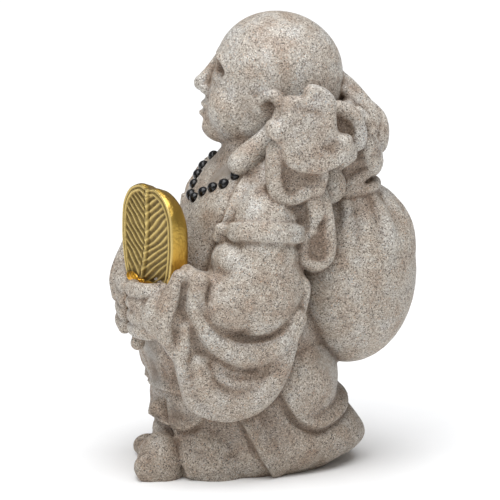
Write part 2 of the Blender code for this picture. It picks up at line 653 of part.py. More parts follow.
def add_ruffles(clay):
    """The gathered mouth, petal behind petal, and the knot of cloth in front of them."""
    far = [
        (26.4, 128), (30.4, 125.6), (33.5, 123), (36.6, 120), (40.3, 116.2), (43.3, 112), (44.4, 107.2),
        (43.8, 102.2), (42, 100), (36, 100), (30, 106), (24, 118),
    ]
    second = [
        (30, 115), (36, 113.6), (39.4, 109), (39.6, 104), (37.6, 99.6), (34, 96), (28, 94), (22, 104),
    ]
    third = [
        (25, 116), (30.6, 115), (34.6, 111.6), (35.8, 106.8), (34.4, 102), (31.4, 98.4), (26, 96),
        (20, 104),
    ]
    for outline, azimuth, distance, thickness, edge in (
        (far, 60, -11.5, 7, 2.6),
        (second, 76, 9.6, 14, 2.6),
        (third, 82, 19.6, 12, 2.6),
    ):
        clay.flap(outline, LEFT_LOOK, azimuth, distance, thickness, edge)
    for line, azimuth, distance in (
        (
            [
                (30.6, 121.4, 1.7), (34.6, 118.2, 1.9), (38.2, 114.2, 2.1), (41, 109.6, 2.2),
                (41.8, 105, 2.2), (40.8, 102, 1.8),
            ],
            60,
            -9.4,
        ),
        (
            [
                (35, 114, 2.2), (38.4, 110.6, 2.3), (39.4, 106.4, 2.4), (38.8, 102, 2.4),
                (36.4, 98.6, 2.4), (32.8, 96, 2.4), (28.4, 94.2, 2.2),
            ],
            76,
            11.6,
        ),
        (
            [
                (28.8, 115.2, 2.7), (32.2, 113.6, 2.9), (34.7, 110.8, 3), (35.4, 107, 3),
                (34.4, 103.2, 3), (32, 100.2, 3), (28.4, 97.4, 2.7),
            ],
            82,
            21.4,
        ),
    ):
        clay.rim(line, LEFT_LOOK, azimuth, distance)
    for centre, radii, turn in (
        ((14, 36, 106.5), (8, 5, 9.5), (12, 0, -8)),
        ((4.5, 33, 111), (8, 5, 10), (12, 0, 30)),
        ((-3, 26.5, 115), (7, 5, 9.5), (8, 0, 60)),
    ):
        clay.ball(centre, radii, turn)
    knot = [
        (5.6, 105.6), (5.3, 108.3), (6.6, 110.3), (9.2, 110.6), (10.6, 113), (10.9, 116), (12, 118.1),
        (14.5, 118.3), (17.4, 118.2), (18, 120.4), (20.2, 122), (23.4, 121.4), (26.7, 119.4),
        (28.4, 116.4), (28.4, 112), (28.8, 107.8), (30.2, 106.2), (32.8, 105.8), (33.9, 104),
        (33.2, 100.8), (31, 97.2), (27.6, 95), (23.2, 93.4), (17.8, 93.6), (13.4, 95.2), (10.9, 98.4),
        (9.6, 101.6), (8.4, 104),
    ]
    clay.flap(knot, LEFT_LOOK, 84, 34.8, 6, 2.4)
    clay.ball(beside(28.6, 19.6, 104.4), (7.8, 9.4, 10.6))
    clay.ball(beside(30, 20.6, 110), (6, 7.4, 7.6))
    clay.ball(beside(32.8, 22.8, 117.2), (4, 4.6, 4.4))
    clay.ball(beside(33, 8.6, 107.6), (3.2, 3, 3.2))
    clay.ball(beside(31.6, 30.6, 102.6), (3.4, 3.2, 4.4))


def add_tails(clay):
    """The tie's tail, doubled back on itself: two layers with rolled edges, a tongue and a round end."""
    upper = [
        (6.4, 102), (5.6, 96), (5.8, 90), (7, 85.6), (10, 83.4), (14.6, 83.6), (18.6, 85.6), (21.6, 87),
        (25, 89), (25.2, 96), (16, 101), (9, 103.5),
    ]
    under = [
        (8.2, 84.4), (8.6, 81), (11, 78), (15.2, 76.2), (19, 74.9), (21.6, 77), (19, 85), (13, 87),
    ]
    tongue = [
        (18.4, 84.6), (20.4, 86.6), (23.4, 86.6), (25, 84.2), (24.7, 80.4), (23, 77.4), (21, 74.6),
        (19.9, 75.6), (19.2, 80),
    ]
    end = [
        (19.4, 75.8), (16, 74.2), (14.4, 70.4), (15, 66), (17.6, 63), (21.4, 61.8), (25.2, 62.9),
        (27.6, 66), (28.6, 70.4), (28.2, 75.4), (27.4, 80), (26.6, 84.4), (25, 89), (22, 86),
        (22.4, 78),
    ]
    for outline, azimuth, distance, edge in (
        (upper, 86, 32.2, 2), (under, 88, 30.4, 1.6), (end, 90, 31, 1.8), (tongue, 90, 32.8, 1.8)
    ):
        clay.flap(outline, LEFT_LOOK, azimuth, distance, 6, edge)
    for line, azimuth, distance in (
        (
            [
                (9, 101.4, 2.4), (8.4, 96, 2.7), (8.6, 90.8, 2.9), (10.6, 87, 2.9), (14.4, 86.4, 2.8),
                (18.4, 88, 2.5), (22.4, 89, 2.2),
            ],
            86,
            33.4,
        ),
        ([(10.2, 82, 1.5), (12, 79.6, 1.7), (15.6, 78, 1.7), (19, 77.2, 1.5)], 88, 31),
        (
            [
                (20.4, 75.8, 1.8), (17.6, 73.6, 2.1), (16.9, 69.8, 2.4), (18, 66.4, 2.6), (21.4, 64.8, 2.7),
                (24.6, 66.4, 2.6), (25.8, 70.2, 2.5), (25.6, 75.4, 2.4), (25.2, 80.4, 2.2), (24.6, 85, 1.8),
            ],
            90,
            32.2,
        ),
    ):
        clay.rim(line, LEFT_LOOK, azimuth, distance)
    clay.roll([(23, 10, 96, 6), (22, 14, 84, 6), (22, 16, 74, 6)])
    clay.ball(beside(23, 26.4, 90), (4, 5, 6))


def collection(name):
    made = bpy.data.collections.new(name)
    bpy.context.scene.collection.children.link(made)
    return made


def space_above_ground():
    """The block of space that the finished solid is kept inside. Its lower face is the ground."""
    bpy.ops.mesh.primitive_cube_add(size=2 * HEIGHT, location=(0, 0, HEIGHT))
    space = bpy.context.object
    space.name = "space_above_ground"
    space.hide_render = True
    space.display_type = "WIRE"
    space.users_collection[0].objects.unlink(space)
    collection("cutters").objects.link(space)
    return space


def sand_filled_resin():
    resin = bpy.data.materials.new("sand_filled_resin")
    resin.use_nodes = True
    shader = resin.node_tree.nodes["Principled BSDF"]
    shader.inputs["Base Color"].default_value = (0.46, 0.42, 0.36, 1)
    shader.inputs["Roughness"].default_value = 0.85
    return resin


def finish(mesh):
    """The sculpture brought down to its facet budget, and cut flat at the ground."""
    mesh.shade_smooth()
    statue = bpy.data.objects.new("statue", mesh)
    collection("monk_statue").objects.link(statue)
    thin = statue.modifiers.new("thin", "DECIMATE")
    thin.ratio = FACETS / sum(len(face.vertices) - 2 for face in mesh.polygons)
    ground = statue.modifiers.new("ground", "BOOLEAN")
    ground.operation = "INTERSECT"
    ground.solver = "EXACT"
    ground.object = space_above_ground()
    statue.data.materials.append(sand_filled_resin())


def build():
    clay = Clay()
    add_body(clay)
    carving = Carving(clay.fused("robe", CLAY_GRAIN, 4))
    carve_body(carving)
    clay = Clay()
    clay.add_mesh(carving.finished(), Matrix.Identity(4))
    add_sleeves(clay)
    carving = Carving(clay.fused("dressed", CLAY_GRAIN, 1))
    carve_sleeves(carving)
    clay = Clay()
    add_string(clay, carving)
    for mesh in (carving.finished(), sack(), mouth(), head()):
        clay.add_mesh(mesh, Matrix.Identity(4))
    collar = [(9, -10, 97.5, 2), (15.5, -2, 101.5, 3), (12, 8, 104.5, 3.2), (0, 12, 105.5, 3.4)]
    clay.roll(collar + [(-x, y, z, r) for x, y, z, r in reversed(collar[:-1])])
    add_feet(clay)
    add_left_hand(clay)
    add_right_hand(clay)
    add_fan(clay)
    finish(clay.fused("whole", CLAY_GRAIN, 1))


for left_over in list(bpy.data.objects):
    bpy.data.objects.remove(left_over)
build()
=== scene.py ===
"""The looks of the monk statue: a fine sculpture of the casting, its paint, and a studio.

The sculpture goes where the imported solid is. It is made as the solid was, in finer clay.
"""

import math

import bmesh
import bpy
import numpy as np
from mathutils import Euler, Matrix, Vector
from mathutils.bvhtree import BVHTree


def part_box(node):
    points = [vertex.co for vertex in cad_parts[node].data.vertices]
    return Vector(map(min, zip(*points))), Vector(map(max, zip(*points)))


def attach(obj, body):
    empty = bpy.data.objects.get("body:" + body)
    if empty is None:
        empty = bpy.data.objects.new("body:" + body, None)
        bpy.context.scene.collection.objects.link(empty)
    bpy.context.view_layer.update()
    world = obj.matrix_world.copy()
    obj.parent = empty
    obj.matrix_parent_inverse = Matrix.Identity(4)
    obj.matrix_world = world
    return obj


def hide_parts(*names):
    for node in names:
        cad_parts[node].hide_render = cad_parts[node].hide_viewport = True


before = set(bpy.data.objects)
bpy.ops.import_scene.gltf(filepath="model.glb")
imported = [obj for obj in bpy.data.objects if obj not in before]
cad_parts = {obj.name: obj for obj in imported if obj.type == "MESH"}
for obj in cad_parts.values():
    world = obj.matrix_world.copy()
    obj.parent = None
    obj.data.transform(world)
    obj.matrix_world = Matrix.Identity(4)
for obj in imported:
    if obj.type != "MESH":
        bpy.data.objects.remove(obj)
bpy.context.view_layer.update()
FOOT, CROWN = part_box("statue")

MM = 0.001
UNIT = (CROWN.z - FOOT.z) / 149.84  # the sculpture's own unit, 1 mm on a figure 149.84 mm tall

FAN_WIDTH = 31.5 * UNIT
FAN_HEIGHT = 42 * UNIT
FAN_THICKNESS = 6.8 * UNIT
BEAD_DIAMETER = 3.6 * UNIT
BEAD_PITCH = 4.7 * UNIT

VEIN_PITCH = 2.7 * UNIT
VEIN_RISE = 31  # degrees

HEAD_PLACE = (-4, 7.5, 126)
HEAD_TURN = (-15, 0, -20)  # chin lifted, face turned to the figure's right

CLAY_GRAIN = 0.48 * UNIT  # voxel of the sculpture
FAN_GRAIN = 0.26 * UNIT  # voxel of the fan, whose veins are finer
FACETS = 196000  # triangles kept on the casting
FAR = 300  # units, well outside the sculpture

SAND_GRAIN = 0.35 * MM  # casting sand is 0.3 to 0.5 mm, so it is drawn at its real size
GRAIN_DEPTH = 0.12 * SAND_GRAIN  # how far a grain stands out of the binder
PATCH = 9 * MM  # size of the resin's warmer and paler patches
PAINTED_SHADE_TO = 130 * UNIT  # the resin is painted darker towards the ground, as painted shade, up to this height
RESIN_IOR = 1.55
GILT_GRIT = 1.3 * MM  # lumps of the sanded ground under the gold; finer ones go down to the grain
GILT_DEPTH = 0.32 * MM  # of those lumps
GILT_MOTTLE = 1.6 * MM  # brush marks
ORANGE_TO = 60 * UNIT  # the gold is orange up to here, where it was laid on thickly
YELLOW_FROM = 84 * UNIT  # and its yellowest from here on
ENAMEL_DABS = 1.2 * MM  # unevenness of the black, about a third of a bead
ENAMEL_IOR = 1.5
CARD_CLOUDS = 16 * MM  # faint unevenness of the card

LEFT_LOOK = (75, 14)  # azimuth and elevation that the left side is laid out from
RIGHT_LOOK = (-75, 14)
BACK_LOOK = (172, 4)

CAMERA_LENS = 900  # mm
SENSOR_WIDTH = 36  # mm
PICTURE_WIDTH = 164.3 * UNIT  # what the picture takes in at the figure
PICTURE_MIDDLE = 69.1 * UNIT  # up the picture from the origin

FLOOR_REACH = 4  # m from the figure to the floor's edge
SURROUND = 0.22  # strength of the white all round
OVERHEAD = 3.05  # W/m2
OVERHEAD_SPREAD = 60  # degrees of sky that the overhead light fills
FRONT_LIGHT = 1.4  # W
FRONT_WIDTH = 0.5  # m


def smooth_line(points, closed=False, step=0.8):
    """Points along a Catmull-Rom curve through the given ones, about step apart in units."""
    points = [np.array(p, float) for p in points]
    if closed:
        points = [points[-1], *points, *points[:2]]
    else:
        points = [2 * points[0] - points[1], *points, 2 * points[-1] - points[-2]]
    line = []
    for before, start, end, after in zip(points, points[1:], points[2:], points[3:]):
        pieces = max(2, math.ceil(np.linalg.norm((end - start)[:3]) / step))
        for t in np.arange(pieces) / pieces:
            bend = (2 * before - 5 * start + 4 * end - after) * t**2
            twist = (3 * start - before - 3 * end + after) * t**3
            line.append(0.5 * (2 * start + (end - before) * t + bend + twist))
    if not closed:
        line.append(points[-2])
    return line


def beside(x, across, up):
    """The (x, y, z) that lies at that x where the left look sees (across, up)."""
    right, above, _ = sight(LEFT_LOOK)
    y = (across - right.x * x) / right.y
    return x, y, (up - above.x * x - above.y * y) / above.z


def upright_plane(azimuth, distance):
    """A vertical plane that faces azimuth, that far from the axis: X runs to its right and Y up."""
    across, _, out = sight((azimuth, 0))
    plane = Matrix((across, (0, 0, 1), out)).transposed().to_4x4()
    return Matrix.Translation(out * distance * UNIT) @ plane


def sighted(points, look, azimuth, distance):
    """Where the sight lines of (across, up) points from a look meet an upright plane, in units."""
    across, up, back = sight(look)
    out = sight((azimuth, 0))[2]
    spots = [across * u + up * v for u, v in points]
    return [spot + back * ((distance - spot.dot(out)) / back.dot(out)) for spot in spots]


def sight(look):
    """Unit vectors of a look from (azimuth, elevation): to its right, up, and back to the eye."""
    azimuth, elevation = (math.radians(a) for a in look)
    level = math.cos(elevation)
    across = Vector((math.cos(azimuth), math.sin(azimuth), 0))
    back = Vector((math.sin(azimuth) * level, -math.cos(azimuth) * level, math.sin(elevation)))
    return across, back.cross(across), back


def placed(name, data):
    """A new object in the scene."""
    made = bpy.data.objects.new(name, data)
    bpy.context.scene.collection.objects.link(made)
    return made


def solid_of(helper):
    """The mesh that a helper's curve or modifiers make. The helper goes."""
    bpy.context.view_layer.update()
    solid = bpy.data.meshes.new_from_object(
        helper.evaluated_get(bpy.context.evaluated_depsgraph_get())
    )
    bpy.data.objects.remove(helper)
    return solid


class Clay:
    """Lumps, rolls and slabs pressed together. Places are in units, inside the current frame."""

    def __init__(self):
        self.shape = bmesh.new()
        self.frame = Matrix.Identity(4)
        egg = bmesh.new()
        bmesh.ops.create_uvsphere(egg, u_segments=40, v_segments=20, radius=1)
        self.egg = bpy.data.meshes.new("egg")
        egg.to_mesh(self.egg)
        egg.free()

    def add_mesh(self, mesh, place=Matrix.Identity(4)):
        """Takes in a mesh, which goes."""
        mesh.transform(place)
        self.shape.from_mesh(mesh)
        bpy.data.meshes.remove(mesh)

    def ball(self, centre, radii, turn=(0, 0, 0)):
        """An egg-shaped lump, turned in degrees about X, Y and Z."""
        turned = Euler([math.radians(a) for a in turn]).to_matrix().to_4x4()
        size = Matrix.Diagonal((*(Vector(radii) * UNIT), 1))
        place = self.frame @ Matrix.Translation(Vector(centre) * UNIT) @ turned @ size
        self.add_mesh(self.egg.copy(), place)

    def add_curve(self, knots, place, closed=False, **settings):
        """Takes in the solid of a curve through (x, y, z, radius) knots."""
        data = bpy.data.curves.new("curve", "CURVE")
        for name, value in settings.items():
            setattr(data, name, value)
        spline = data.splines.new("POLY")
        spline.points.add(len(knots) - 1)
        for point, (x, y, z, radius) in zip(spline.points, knots):
            point.co = (x * UNIT, y * UNIT, z * UNIT, 1)
            point.radius = radius
        spline.use_cyclic_u = closed
        solid = solid_of(placed("helper", data))
        bpy.data.curves.remove(data)
        self.add_mesh(solid, place)

    def roll(self, points):
        """A round roll through (x, y, z, radius) points, with domed ends."""
        round_bar = {"dimensions": "3D", "bevel_depth": UNIT, "bevel_resolution": 4}
        self.add_curve(smooth_line(points), self.frame, use_fill_caps=True, **round_bar)
        for *end, radius in (points[0], points[-1]):
            self.ball(end, [radius] * 3)

    def slab(self, outline, plane, thickness, edge):
        """A flat slab with rounded edges, whose outer face lies in the plane."""
        edge = min(edge, 0.45 * thickness)
        flat_bar = {"dimensions": "2D", "fill_mode": "BOTH", "bevel_resolution": 3}
        self.add_curve(
            [(across, up, 0, 1) for across, up in smooth_line(outline, closed=True)],
            plane @ Matrix.Translation((0, 0, -thickness / 2 * UNIT)),
            closed=True,
            extrude=(thickness / 2 - edge) * UNIT,
            bevel_depth=edge * UNIT,
            offset=-edge * UNIT,
            **flat_bar,
        )

    def flap(self, outline, look, azimuth, distance, thickness, edge):
        """A slab whose outline is sighted from a look on to an upright plane."""
        plane = upright_plane(azimuth, distance)
        along = plane.col[0].to_3d()
        spots = sighted(outline, look, azimuth, distance)
        self.slab([(spot.dot(along), spot.z) for spot in spots], plane, thickness, edge)

    def rim(self, points, look, azimuth, distance):
        """A roll of cloth through (across, up, radius) points, its outer side in an upright plane."""
        line = []
        for u, v, radius in points:
            line.append((*sighted([(u, v)], look, azimuth, distance - radius)[0], radius))
        self.roll(line)

    def stack(self, levels, sides=72):
        """A loft through level ellipses (z, x, y, x radius, y radius), closed top and bottom."""
        rings = []
        for z, x, y, x_radius, y_radius in smooth_line(levels, step=2):
            ring = []
            for i in range(sides):
                turn = 2 * math.pi * i / sides
                spot = (x + x_radius * math.cos(turn), y + y_radius * math.sin(turn), z)
                ring.append(self.shape.verts.new(self.frame @ (Vector(spot) * UNIT)))
            rings.append(ring)
        for lower, upper in zip(rings, rings[1:]):
            for i in range(sides):
                j = (i + 1) % sides
                self.shape.faces.new((lower[i], lower[j], upper[j], upper[i]))
        self.shape.faces.new(reversed(rings[0]))
        self.shape.faces.new(rings[-1])

    def fused(self, name, grain, smoothing):
        """The outer skin of all that was pressed together, in even faces of the grain's size."""
        mesh = bpy.data.meshes.new(name)
        self.shape.to_mesh(mesh)
        self.shape.free()
        helper = placed(name, mesh)
        fuse = helper.modifiers.new("fuse", "REMESH")
        fuse.mode = "VOXEL"
        fuse.voxel_size = grain
        soften = helper.modifiers.new("soften", "SMOOTH")
        soften.factor = 0.5
        soften.iterations = smoothing
        return solid_of(helper)


def points_of(mesh):
    """The places and outward directions of a mesh's vertices, places in metres."""
    places = np.empty(len(mesh.vertices) * 3, np.float32)
    mesh.vertices.foreach_get("co", places)
    out = np.empty_like(places)
    mesh.vertex_normals.foreach_get("vector", out)
    return places.reshape(-1, 3), out.reshape(-1, 3)


def fade(nearest, path, taper):
    """A stroke's strength at places along its path: nothing at the ends, full between the tapers."""
    share = nearest / max(1, len(path) - 1)
    return np.clip(np.minimum(share, 1 - share) / taper, 0, 1) if taper else 1


class Carving:
    """Tool strokes on a mesh. Widths and depths are in units."""

    def __init__(self, mesh):
        self.mesh = mesh
        self.spots = points_of(mesh)[0] / UNIT
        self.look_again()

    def look_again(self):
        """Takes the strokes so far into the surface that later ones are sighted on."""
        self.finished()
        self.out = points_of(self.mesh)[1]
        self.skin = BVHTree.FromPolygons(
            self.spots.tolist(), [tuple(face.vertices) for face in self.mesh.polygons]
        )

    def met(self, rays):
        """The surface points met from outside, along (place, direction outwards) lines."""
        spots = [self.skin.ray_cast(place + back * FAR, -back)[0] for place, back in rays]
        return np.array([spot for spot in spots if spot is not None])

    def seen_from(self, look, points):
        """The surface points met when (across, up) points are sighted from that look."""
        across, up, back = sight(look)
        return self.met([(across * u + up * v, back) for u, v in smooth_line(points, step=0.5)])

    def met_round(self, points, step=0.5):
        """The surface points met when (azimuth, z) points are sighted level, towards the axis."""
        line = smooth_line([(a * 0.5, z) for a, z in points], step=step)
        return self.met([(Vector((0, 0, z)), sight((a * 2, 0))[2]) for a, z in line])

    def near(self, path, width):
        """Indices, distances and nearest path point of the vertices within width of the path."""
        low, high = path.min(0) - width, path.max(0) + width
        close = np.flatnonzero(((self.spots > low) & (self.spots < high)).all(1))
        gaps = np.linalg.norm(self.spots[close][:, None] - path[None], axis=2)
        nearest = gaps.argmin(1)
        gap = gaps[np.arange(len(close)), nearest]
        inside = gap < width
        return close[inside], gap[inside], nearest[inside]

    def press(self, path, width, depth, taper=0.25, sharp=False):
        """A round-bottomed groove along the path, or a sharp crease between two rounded sides."""
        spots, gap, nearest = self.near(path, width)
        inward = 1 - gap / width
        profile = inward**2 if sharp else (inward * (2 - inward)) ** 2
        self.spots[spots] -= (depth * profile * fade(nearest, path, taper))[:, None] * self.out[spots]

    def lap(self, path, width, height, lip, taper=0.15):
        """An edge of cloth: the surface swells towards the path from its left and drops off there."""
        spots, gap, nearest = self.near(path, width)
        tangent = np.gradient(path, axis=0)[nearest]
        side = np.cross(self.out[spots], tangent)
        side /= np.linalg.norm(side, axis=1)[:, None] + 1e-9
        away = ((self.spots[spots] - path[nearest]) * side).sum(1)
        swell = (1 - np.clip(gap / width, 0, 1)) ** 1.5
        edge = np.clip(away / lip + 0.5, 0, 1)
        sink = -0.35 * np.exp(-(((away + lip) / lip) ** 2)) * (gap < 3 * lip)
        rise = height * (swell * edge + sink) * fade(nearest, path, taper)
        self.spots[spots] += rise[:, None] * self.out[spots]

    def strip(self, path, half_width, height, lip):
        """A raised flat strip along the path."""
        spots, gap, nearest = self.near(path, half_width + lip)
        rise = height * np.clip((half_width + lip / 2 - gap) / lip, 0, 1)
        self.spots[spots] += rise[:, None] * self.out[spots]

    def finished(self):
        """The mesh with every stroke on it."""
        self.mesh.vertices.foreach_set("co", (self.spots * UNIT).astype(np.float32).ravel())
        self.mesh.update()
        return self.mesh


def mirrored(points):
    """The same stroke on the other side, run backwards so that its left stays its left."""
    return [(-across, *rest) for across, *rest in reversed(points)]


def add_body(clay):
    """Robe, chest and belly, as one stack of level ellipses from below the ground to the neck."""
    clay.stack([
        (-3, 0, -2, 20, 27), (0, 0, -1, 21.5, 28.5), (2, 0, 0, 23.5, 31), (5, 0, 2, 25.5, 34),
        (9, 0, 3, 26.5, 35.6), (14, 0, 2, 26.5, 34), (20, 0, 0, 27, 31.6), (25, 0, -2, 27.5, 30.6),
        (30, 0, -3, 27.8, 30.6), (40, 0, -4.5, 28.2, 32.5), (50, 0, -5.5, 28.5, 32),
        (60, 0, -5.6, 26, 28.6), (70, 0, -5, 23.5, 24.6), (80, 0, -3.6, 24.5, 20.6),
        (88, 0, -2.6, 27.5, 18), (92, 0, -2, 27.5, 16.5), (95, 0, -1.2, 26, 15.1),
        (98.5, 0, 0, 22.5, 13.4), (101, 0, 0.4, 19, 11.8), (105, 0, 0.6, 13.5, 9.8),
        (112, -2, 2, 11, 10),
    ])
    clay.ball((0, -15, 56), (20, 21.5, 16.5))  # belly
    clay.ball((6, -32.2, 21.7), (2.6, 2.6, 2.6))  # knotted end of the tie
    for side in (-1, 1):
        clay.ball((side * 10, -6.5, 83), (12, 10, 9))  # chest
        clay.ball((side * 8, 7, 31), (20.8, 20, 21))  # the robe blouses at the back
        clay.ball((side * 12, -15.5, 6), (12.5, 12.5, 16))  # front corner of the skirt
        clay.roll([(side * 15, 4, 93, 9), (side * 22, 3, 90, 10)])  # shoulder


def carve_body(carving):
    """The open robe, its tie and its hems. Azimuths are degrees round the figure from the front."""
    lapel = [(68, 101), (61, 94.5), (57, 89), (52, 82), (45, 70), (40, 58), (22, 51), (0, 48.5)]
    for points in (lapel, mirrored(lapel)):
        carving.lap(carving.met_round(points), 9, 2, lip=1, taper=0.06)
    carving.look_again()
    for side in (-1, 1):
        for turn in (4, 12, 20, 27, 34):
            fold = [(side * turn, 41), (side * (turn + 0.5), 36), (side * (turn + 1), 30)]
            carving.press(carving.met_round(fold), 1.9, 0.9, taper=0.4, sharp=True)
    hem = [(75, 29), (35, 28.7), (15, 28.7), (0, 30)]
    carving.lap(carving.met_round(mirrored(hem) + hem[-2::-1]), 6, 2.2, lip=0.9)
    pouch = [
        (93, 33), (102, 24.5), (113, 18.6), (125, 15.8), (142, 17), (158, 19), (170, 20.6), (180, 21.5),
    ]
    back = [(360 - azimuth, z) for azimuth, z in pouch[-2::-1]]
    path = carving.met_round(pouch + back)
    carving.lap(path, 9, 2.4, lip=1.1, taper=0.08)
    carving.press(path, 3.4, 1, taper=0.08, sharp=True)
    carving.look_again()
    swag = [(17, 26.5), (17, 22.4), (21, 17.4), (31, 16), (40, 18.9), (44, 24)]
    for points in (swag, mirrored(swag), [(a - 30, z + 1) for a, z in swag]):
        path = carving.met_round(points)
        carving.lap(path, 5, 1.5, lip=0.9)
        carving.press(path, 2.4, 0.9, sharp=True)
    front = [(0, 16.5), (12, 16.5), (21, 15.4), (28, 10), (34, 4), (38, 0)]
    panel = [(69, 21), (76, 14), (84, 7), (96, -1)]
    for points in (front, mirrored(front), panel, mirrored(panel)):
        carving.lap(carving.met_round(points), 7, 2.4, lip=0.9, taper=0.05)
    sag = [(36, 11), (48, 8.5), (58, 8.3), (67, 10.5)]
    for points in (sag, mirrored(sag)):
        carving.press(carving.met_round(points), 3.6, 1.1, sharp=True)
    for turn in (130, 152, 175, 200, 223):
        fold = [(turn, 11), (turn + 1, 4), (turn + 2, -1)]
        carving.press(carving.met_round(fold), 3.6, 0.9, taper=0.5)
    carving.press(carving.met_round([(-2, 56), (2, 56)]), 2, 2, taper=0)  # navel
    carving.press(carving.met_round([(-20, 78), (-8, 76), (0, 77), (8, 76), (20, 78)]), 3, 1.2)


def add_feet(clay):
    """Round, plump feet with their toes side by side, the big toe inward."""
    for x, y, toe_y, tall in ((11.5, -33.4, -37.2, 1), (-11.5, -22.5, -29.4, 0.75)):
        clay.ball((x, y, 4.5 * tall), (8.3, 7.7, 10.2 * tall))
        for toe in range(5):
            across = math.copysign(5.8 - 2.7 * toe, x)
            size = 0.3 * toe
            spot = (x + across, toe_y - size, (3 + size) * tall)
            clay.ball(spot, (1.7 + 0.5 * size, 4.6 + 0.2 * size, (4 + size) * tall))


def head():
    """The head, its chin lifted and its face turned to the figure's right, as its own sculpture."""
    clay = Clay()
    clay.frame = Matrix.Translation(Vector(HEAD_PLACE) * UNIT) @ Euler(
        [math.radians(a) for a in HEAD_TURN]
    ).to_matrix().to_4x4()
    clay.ball((0, 2, 5.5), (19.6, 21, 18.9))
    clay.ball((0, 6, 2), (18.5, 17.6, 17.6))
    clay.ball((0, 0, -2), (18.4, 18.8, 17.5))
    clay.ball((0, -2.5, -8), (17, 16.6, 17))
    clay.ball((0, -11.3, -17.5), (8.5, 7, 6))
    clay.roll([(-5.5, -15.8, -12.4, 1.4), (0, -18.4, -13, 1.7), (5.5, -15.8, -12.4, 1.4)])
    clay.roll([(-4, -16, -15, 1.4), (0, -18, -15.6, 1.8), (4, -16, -15, 1.4)])
    clay.roll([(0, -18.2, 3.5, 1.5), (0, -19.8, -1.5, 1.8), (0, -21.2, -6, 2.7)])
    for side in (-1, 1):
        clay.ball((side * 7.5, -7.7, -8.8), (9.5, 9.8, 9.3))
        clay.ball((side * 2.6, -19.4, -7.2), (2, 2, 1.7))
        brow = [(2.6, -18.5, 4.6, 1.1), (7, -17.6, 5.6, 1.3), (11.5, -14.8, 3.8, 1)]
        rim_and_lobe = [
            (16.5, 0, -6.5, 1.6), (17.5, -0.5, -2, 1.9), (19, 2.5, 1, 2.1), (20, 6.2, -1, 2.3),
            (19.5, 6.4, -6, 2.4), (19.5, 4.8, -11.5, 3), (20.5, 2.4, -16.5, 3.8),
            (21.5, 0, -20.5, 4.4), (22.3, -1.8, -23, 4),
        ]
        for line in (brow, rim_and_lobe):
            clay.roll([(side * x, y, z, radius) for x, y, z, radius in line])
    carving = Carving(clay.fused("head", CLAY_GRAIN, 3))
    look = (HEAD_TURN[2], -HEAD_TURN[0])
    across, up, _ = sight(look)
    u, v = across.dot(Vector(HEAD_PLACE)), up.dot(Vector(HEAD_PLACE))
    socket = [(3.8, 1), (7.4, 1.4), (11, 0.4)]
    lid = [(4.4, -0.9), (7.4, -0.5), (10.4, -1.3)]
    lashes = [(3.8, -1.9), (7.2, -2.7), (11, -1.9)]
    cheek = [(3.8, -7.4), (6.2, -10.4), (7.6, -14)]
    strokes = []
    for turned in (list, mirrored):
        strokes += [(turned(socket), 4.2, 1.9), (turned(lid), 2.8, -1.4)]
        strokes += [(turned(lashes), 1.2, 0.8), (turned(cheek), 2.6, 0.8)]
    strokes.append(([(-6.2, -12.7), (-3, -13.9), (0, -14), (3, -13.9), (6.2, -12.7)], 1.5, 1.1))
    strokes.append(([(-3.5, -17.4), (0, -18), (3.5, -17.4)], 2.6, 0.9))
    for points, width, depth in strokes:
        carving.press(carving.seen_from(look, [(u + x, v + z) for x, z in points]), width, depth)
    return carving.finished()


def add_sleeves(clay):
    """Both sleeves hang from the forearms. Only the left one is seen, and the right one mirrors it."""
    sleeve = [
        (-21.6, 60.9), (-26, 50), (-28.6, 42), (-26.3, 35), (-23.4, 31), (-21.6, 23.7), (-19, 16.2),
        (-10, 12.6), (-2, 13.3), (5.6, 18.7), (13.7, 34.1), (17.6, 44.5), (20, 58), (10, 62), (-6, 60),
        (-14, 60.4), (-18.4, 62.6),
    ]
    cuff = [(-22.6, 60, 3), (-24.4, 55.4, 3.4), (-26.6, 50.6, 3.5), (-28, 45.6, 3.2), (-27.4, 40.6, 2.8)]
    wrist = [(-21.4, 44.6, 2.4), (-21.6, 39.6, 2.8), (-22, 34.6, 2.8), (-21.4, 29.6, 2.4)]
    fold = [
        (-16.4, 59, 3.2), (-17.6, 54.6, 3.6), (-16.8, 49.4, 3.9), (-13.8, 43.8, 4.6), (-9, 39, 5.4),
        (-2, 36.4, 5.9), (5.4, 37.4, 5.7), (11, 41, 5), (14.8, 47, 3.8),
    ]
    drape = [
        (-16.6, 32, 3.8), (-14.8, 25.6, 5), (-10, 21, 6.2), (-3, 20.4, 6.6), (3.2, 24, 6.2),
        (8.2, 30.6, 5.2), (11.8, 38, 3.8),
    ]
    between = [(-12, 30.6, 3.6), (-6.6, 27.6, 5), (0, 27, 5.4), (5.4, 30.4, 4.6), (9.4, 36, 3.4)]
    for look, side in ((LEFT_LOOK, 1), (RIGHT_LOOK, -1)):
        turned = list if side > 0 else mirrored
        arm = [
            (17, 1, 95, 8), (24, -1, 88, 11), (27, -3, 75, 12), (27, -8, 65, 13), (25, -20, 60, 10.5),
            (22, -29, 60, 7.5),
        ]
        clay.roll([(side * x, y, z, radius) for x, y, z, radius in arm])
        clay.ball((side * 25, -3.9, 65.2), (14.8, 15.4, 18.6))
        clay.ball((side * 25, -9, 74.4), (11, 10.5, 8))
        facing = look[0] + side * 12
        clay.flap(turned(sleeve), look, facing, 33, 11, 2.6)
        for line, distance in (
            (cuff, 34.6), (wrist, 34.2), (fold, 36.8), (between, 34.8), (drape, 35.8),
        ):
            clay.rim(turned(line), look, facing, distance)


